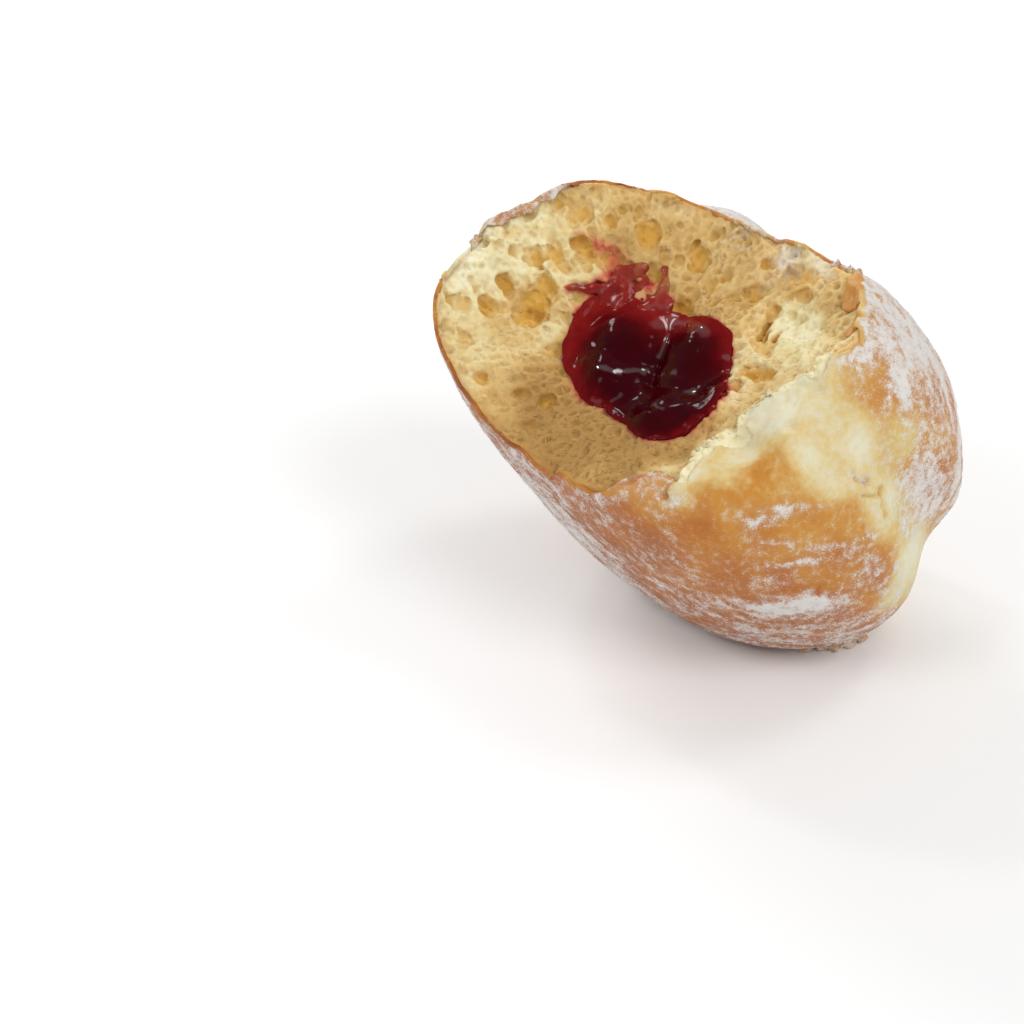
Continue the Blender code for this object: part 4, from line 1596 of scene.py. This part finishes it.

# %% [markdown]
# ## The crumb's material
#
# Crumb is pale on its ridges and tan in the places listed for it. Where it turns away into a cell it gets
# darker tan, which is painted shade, and deep in the cells it is golden, which is painted light that stands
# in for light that has come through thin walls. Real thin walls would be slow to render, so the golden
# colour is mixed in by the stored depth of each cell, and subsurface scattering does the rest. The painted
# shade low on the torn face and in front of the lip comes in with the stored tan. Jelly stains and fallen
# sugar are laid over it.

# %% The crumb's material
crumb_material, tree, shader, place = new_material("crumb", 0.75)
shader.inputs["Specular IOR Level"].default_value = 0.3
shader.inputs["Subsurface Weight"].default_value = 0.6
shader.inputs["Subsurface Radius"].default_value = (1.0, 0.82, 0.5)
shader.inputs["Subsurface Scale"].default_value = 1.8 * MM
pores = add_noise(tree, place, 0.7 * MM, 3.0, 0.6)
clouds = add_noise(tree, place, 5.0 * MM, 3.0, 0.6)
pit_here = add_attribute(tree, "pit")
# Deeper in a cell the level rises a little: painted shade.
level = add_math(tree, "ADD", add_attribute(tree, "tan_and_shade"), add_math(tree, "MULTIPLY", pit_here, 0.2))
level = add_wobble(tree, level, pores, 0.35)
level = add_wobble(tree, level, clouds, 0.5)
foam = add_ramp(
    tree,
    level,
    (
        (0.0, (0.86, 0.80, 0.56)),
        (0.25, (0.79, 0.69, 0.40)),
        (0.55, (0.68, 0.48, 0.20)),
        (0.85, (0.52, 0.32, 0.11)),
        (1.0, (0.42, 0.24, 0.075)),
    ),
)
# Golden colour deep in the cells: painted glow of light through thin walls.
deep = add_math(tree, "MULTIPLY", add_step(tree, pit_here, 0.1, 0.9), 0.75)
foam = add_mix(tree, deep, foam, (0.72, 0.42, 0.07, 1.0))
skin_near = add_step(tree, add_attribute(tree, "depth"), 0.22, 0.02)
foam = add_mix(tree, add_math(tree, "MULTIPLY", skin_near, 0.7), foam, (0.56, 0.27, 0.07, 1.0))
fallen = add(tree, "Group", links={"Amount": add_attribute(tree, "dusting")}, node_tree=powder)
dust_here = add_math(tree, "MULTIPLY", add_attribute(tree, "dusting"), fallen.outputs["Mask"])
dust_here = add_math(tree, "MULTIPLY", dust_here, 1.3, clamp=True)
foam = add_mix(tree, dust_here, foam, (0.74, 0.70, 0.60, 1.0))
stain_here = add_attribute(tree, "stain")
juice = add_ramp(
    tree, stain_here, ((0.0, (0.80, 0.34, 0.22)), (0.5, (0.62, 0.12, 0.07)), (1.0, (0.30, 0.012, 0.012)))
)
foam = add_mix(tree, add_step(tree, stain_here, 0.02, 0.75), foam, juice)
tree.links.new(foam, shader.inputs["Base Color"])
tree.links.new(add_step(tree, stain_here, 1.0, 0.2), shader.inputs["Roughness"])
bump = add(tree, "Bump", {"Strength": 0.25, "Distance": 0.2 * MM}, {"Height": pores})
tree.links.new(bump.outputs["Normal"], shader.inputs["Normal"])
put_on(crumb, crumb_material)
shred_material = crumb_material.copy()
shred_material.name = "shreds"
shred_material.node_tree.nodes["Principled BSDF"].inputs["Subsurface Weight"].default_value = 0.0
put_on(shreds, shred_material)

# %% [markdown]
# ## The grains' material
#
# Each grain is a clump of much finer powder, so it is dull white with a little noise, and not clear like a
# crystal.

# %% The grains' material
grain_material, tree, shader, place = new_material("sugar_grains", 0.7)
shader.inputs["Subsurface Weight"].default_value = 0.3
shader.inputs["Subsurface Radius"].default_value = (1.0, 1.0, 1.0)
shader.inputs["Subsurface Scale"].default_value = 0.4 * MM
tone = add_noise(tree, place, 0.8 * MM, 2.0, 0.6)
pale = add_ramp(tree, tone, ((0.3, (0.68, 0.66, 0.63)), (0.7, (0.77, 0.76, 0.74))))
tree.links.new(pale, shader.inputs["Base Color"])
put_on(grains, grain_material)

# %% [markdown]
# ## The jelly's material
#
# Fruit jelly is nearly black where it is deep and bright red where it is thin. Glass with an absorption
# colour would show that too, but it is slow and noisy, so the stored thickness picks a colour from a ramp,
# and the thin film is partly see-through. Highlights on a wet lump are small and broken, so the gloss is
# high only along the stored wet strokes.

# %% The jelly's material
jelly_material, tree, shader, place = new_material("jelly", 0.10)
swirl = add_noise(tree, place, 2.2 * MM, 3.0, 0.6)
body = add_wobble(tree, add_attribute(tree, "thick"), swirl, 0.35)
glint = add_math(tree, "ADD", add_math(tree, "MULTIPLY", add_attribute(tree, "wet"), 0.94), 0.06, clamp=True)
tree.links.new(glint, shader.inputs["Specular IOR Level"])
film = add_step(tree, add_attribute(tree, "thick"), -0.12, 0.28)
see_through = add(tree, "MapRange", {"To Min": 0.45, "To Max": 1.0}, {"Value": film}).outputs["Result"]
tree.links.new(see_through, shader.inputs["Alpha"])
syrup = add_ramp(
    tree,
    body,
    (
        (0.0, (0.34, 0.034, 0.020)),
        (0.2, (0.26, 0.014, 0.009)),
        (0.45, (0.16, 0.004, 0.005)),
        (0.72, (0.070, 0.0002, 0.002)),
        (1.0, (0.034, 0.0, 0.002)),
    ),
)
tree.links.new(syrup, shader.inputs["Base Color"])
ripples = add_noise(tree, place, 0.8 * MM, 2.0, 0.5)
bump = add(tree, "Bump", {"Strength": 0.06, "Distance": 0.3 * MM}, {"Height": ripples})
tree.links.new(bump.outputs["Normal"], shader.inputs["Normal"])
put_on(jelly, jelly_material)
put_on(smear, jelly_material)

# %% [markdown]
# ## Camera, light and floor
#
# A white floor lies under an even white sky. One large soft light stands high on the right and a weaker one
# on the left, so that the shaded side stays warm. Four smaller ones shape the top, edge the back and put
# sparks on the jelly. The camera looks down thirty degrees with a long lens, which keeps the shape free of
# distortion.

# %% Place the camera and the light
ELEVATION = math.radians(30)
LEFT_BY, DOWN_BY, BACK_BY = 30.9, 16.8, 443.7  # steps from the doughnut's middle, in millimetres
SKY = 0.50
LIGHTS = (  # name, place, what it points at, size and watts
    ("softbox", (1.1, -1.3, 1.6), (0, 0, 0), 1.2, 19.0),
    ("key", (0.50, 0.25, 0.90), (0, 0, 0.03), 0.30, 1.4),
    ("left", (-0.75, -0.55, 0.85), (0, 0, 0.03), 0.50, 3.0),
    ("rim", (-0.38, 0.76, 0.33), (0, 0, 0.03), 0.35, 3.2),
    ("spark", (-0.42, 0.55, 0.75), (0, 0, 0.03), 0.12, 0.9),
    ("sparkle", (0.10, -0.60, 0.45), (0, 0, 0.03), 0.05, 0.15),
)
right = Vector((1.0, 0.0, 0.0))
up = Vector((0.0, math.sin(ELEVATION), math.cos(ELEVATION)))
toward = Vector((0.0, -math.cos(ELEVATION), math.sin(ELEVATION)))
camera_data = bpy.data.cameras.new("camera")
camera_data.lens = 100.0
camera_data.sensor_width = 36.0
camera_data.clip_start = 0.01
camera = bpy.data.objects.new("camera", camera_data)
bpy.context.scene.collection.objects.link(camera)
camera.location = MIDDLE - right * LEFT_BY * MM - up * DOWN_BY * MM + toward * BACK_BY * MM
camera.rotation_euler = (math.radians(90) - ELEVATION, 0.0, 0.0)
bpy.context.scene.camera = camera
bpy.context.scene.view_settings.view_transform = "Standard"

world = bpy.data.worlds.new("studio")
bpy.context.scene.world = world
world.use_nodes = True
background = world.node_tree.nodes["Background"]
background.inputs["Color"].default_value = (1.0, 1.0, 1.0, 1.0)
background.inputs["Strength"].default_value = SKY

for name, place, target, size, watts in LIGHTS:
    light = bpy.data.lights.new(name, "AREA")
    light.shape = "DISK"
    light.size = size
    light.energy = watts
    lamp = bpy.data.objects.new(name, light)
    bpy.context.scene.collection.objects.link(lamp)
    lamp.location = place
    lamp.rotation_euler = (Vector(target) - Vector(place)).to_track_quat("-Z", "Y").to_euler()

deselect_all()
bpy.ops.mesh.primitive_plane_add(size=6.0)
floor = bpy.context.active_object
floor.name = "floor"
print("lights:", ", ".join(name for name, *_ in LIGHTS))
floor_material, tree, shader, place = new_material("pale_floor", 0.9)
shade = add_ramp(tree, add_noise(tree, place, 0.05), ((0.0, (0.90, 0.90, 0.90)), (1.0, (0.92, 0.92, 0.92))))
tree.links.new(shade, shader.inputs["Base Color"])
put_on(floor, floor_material)
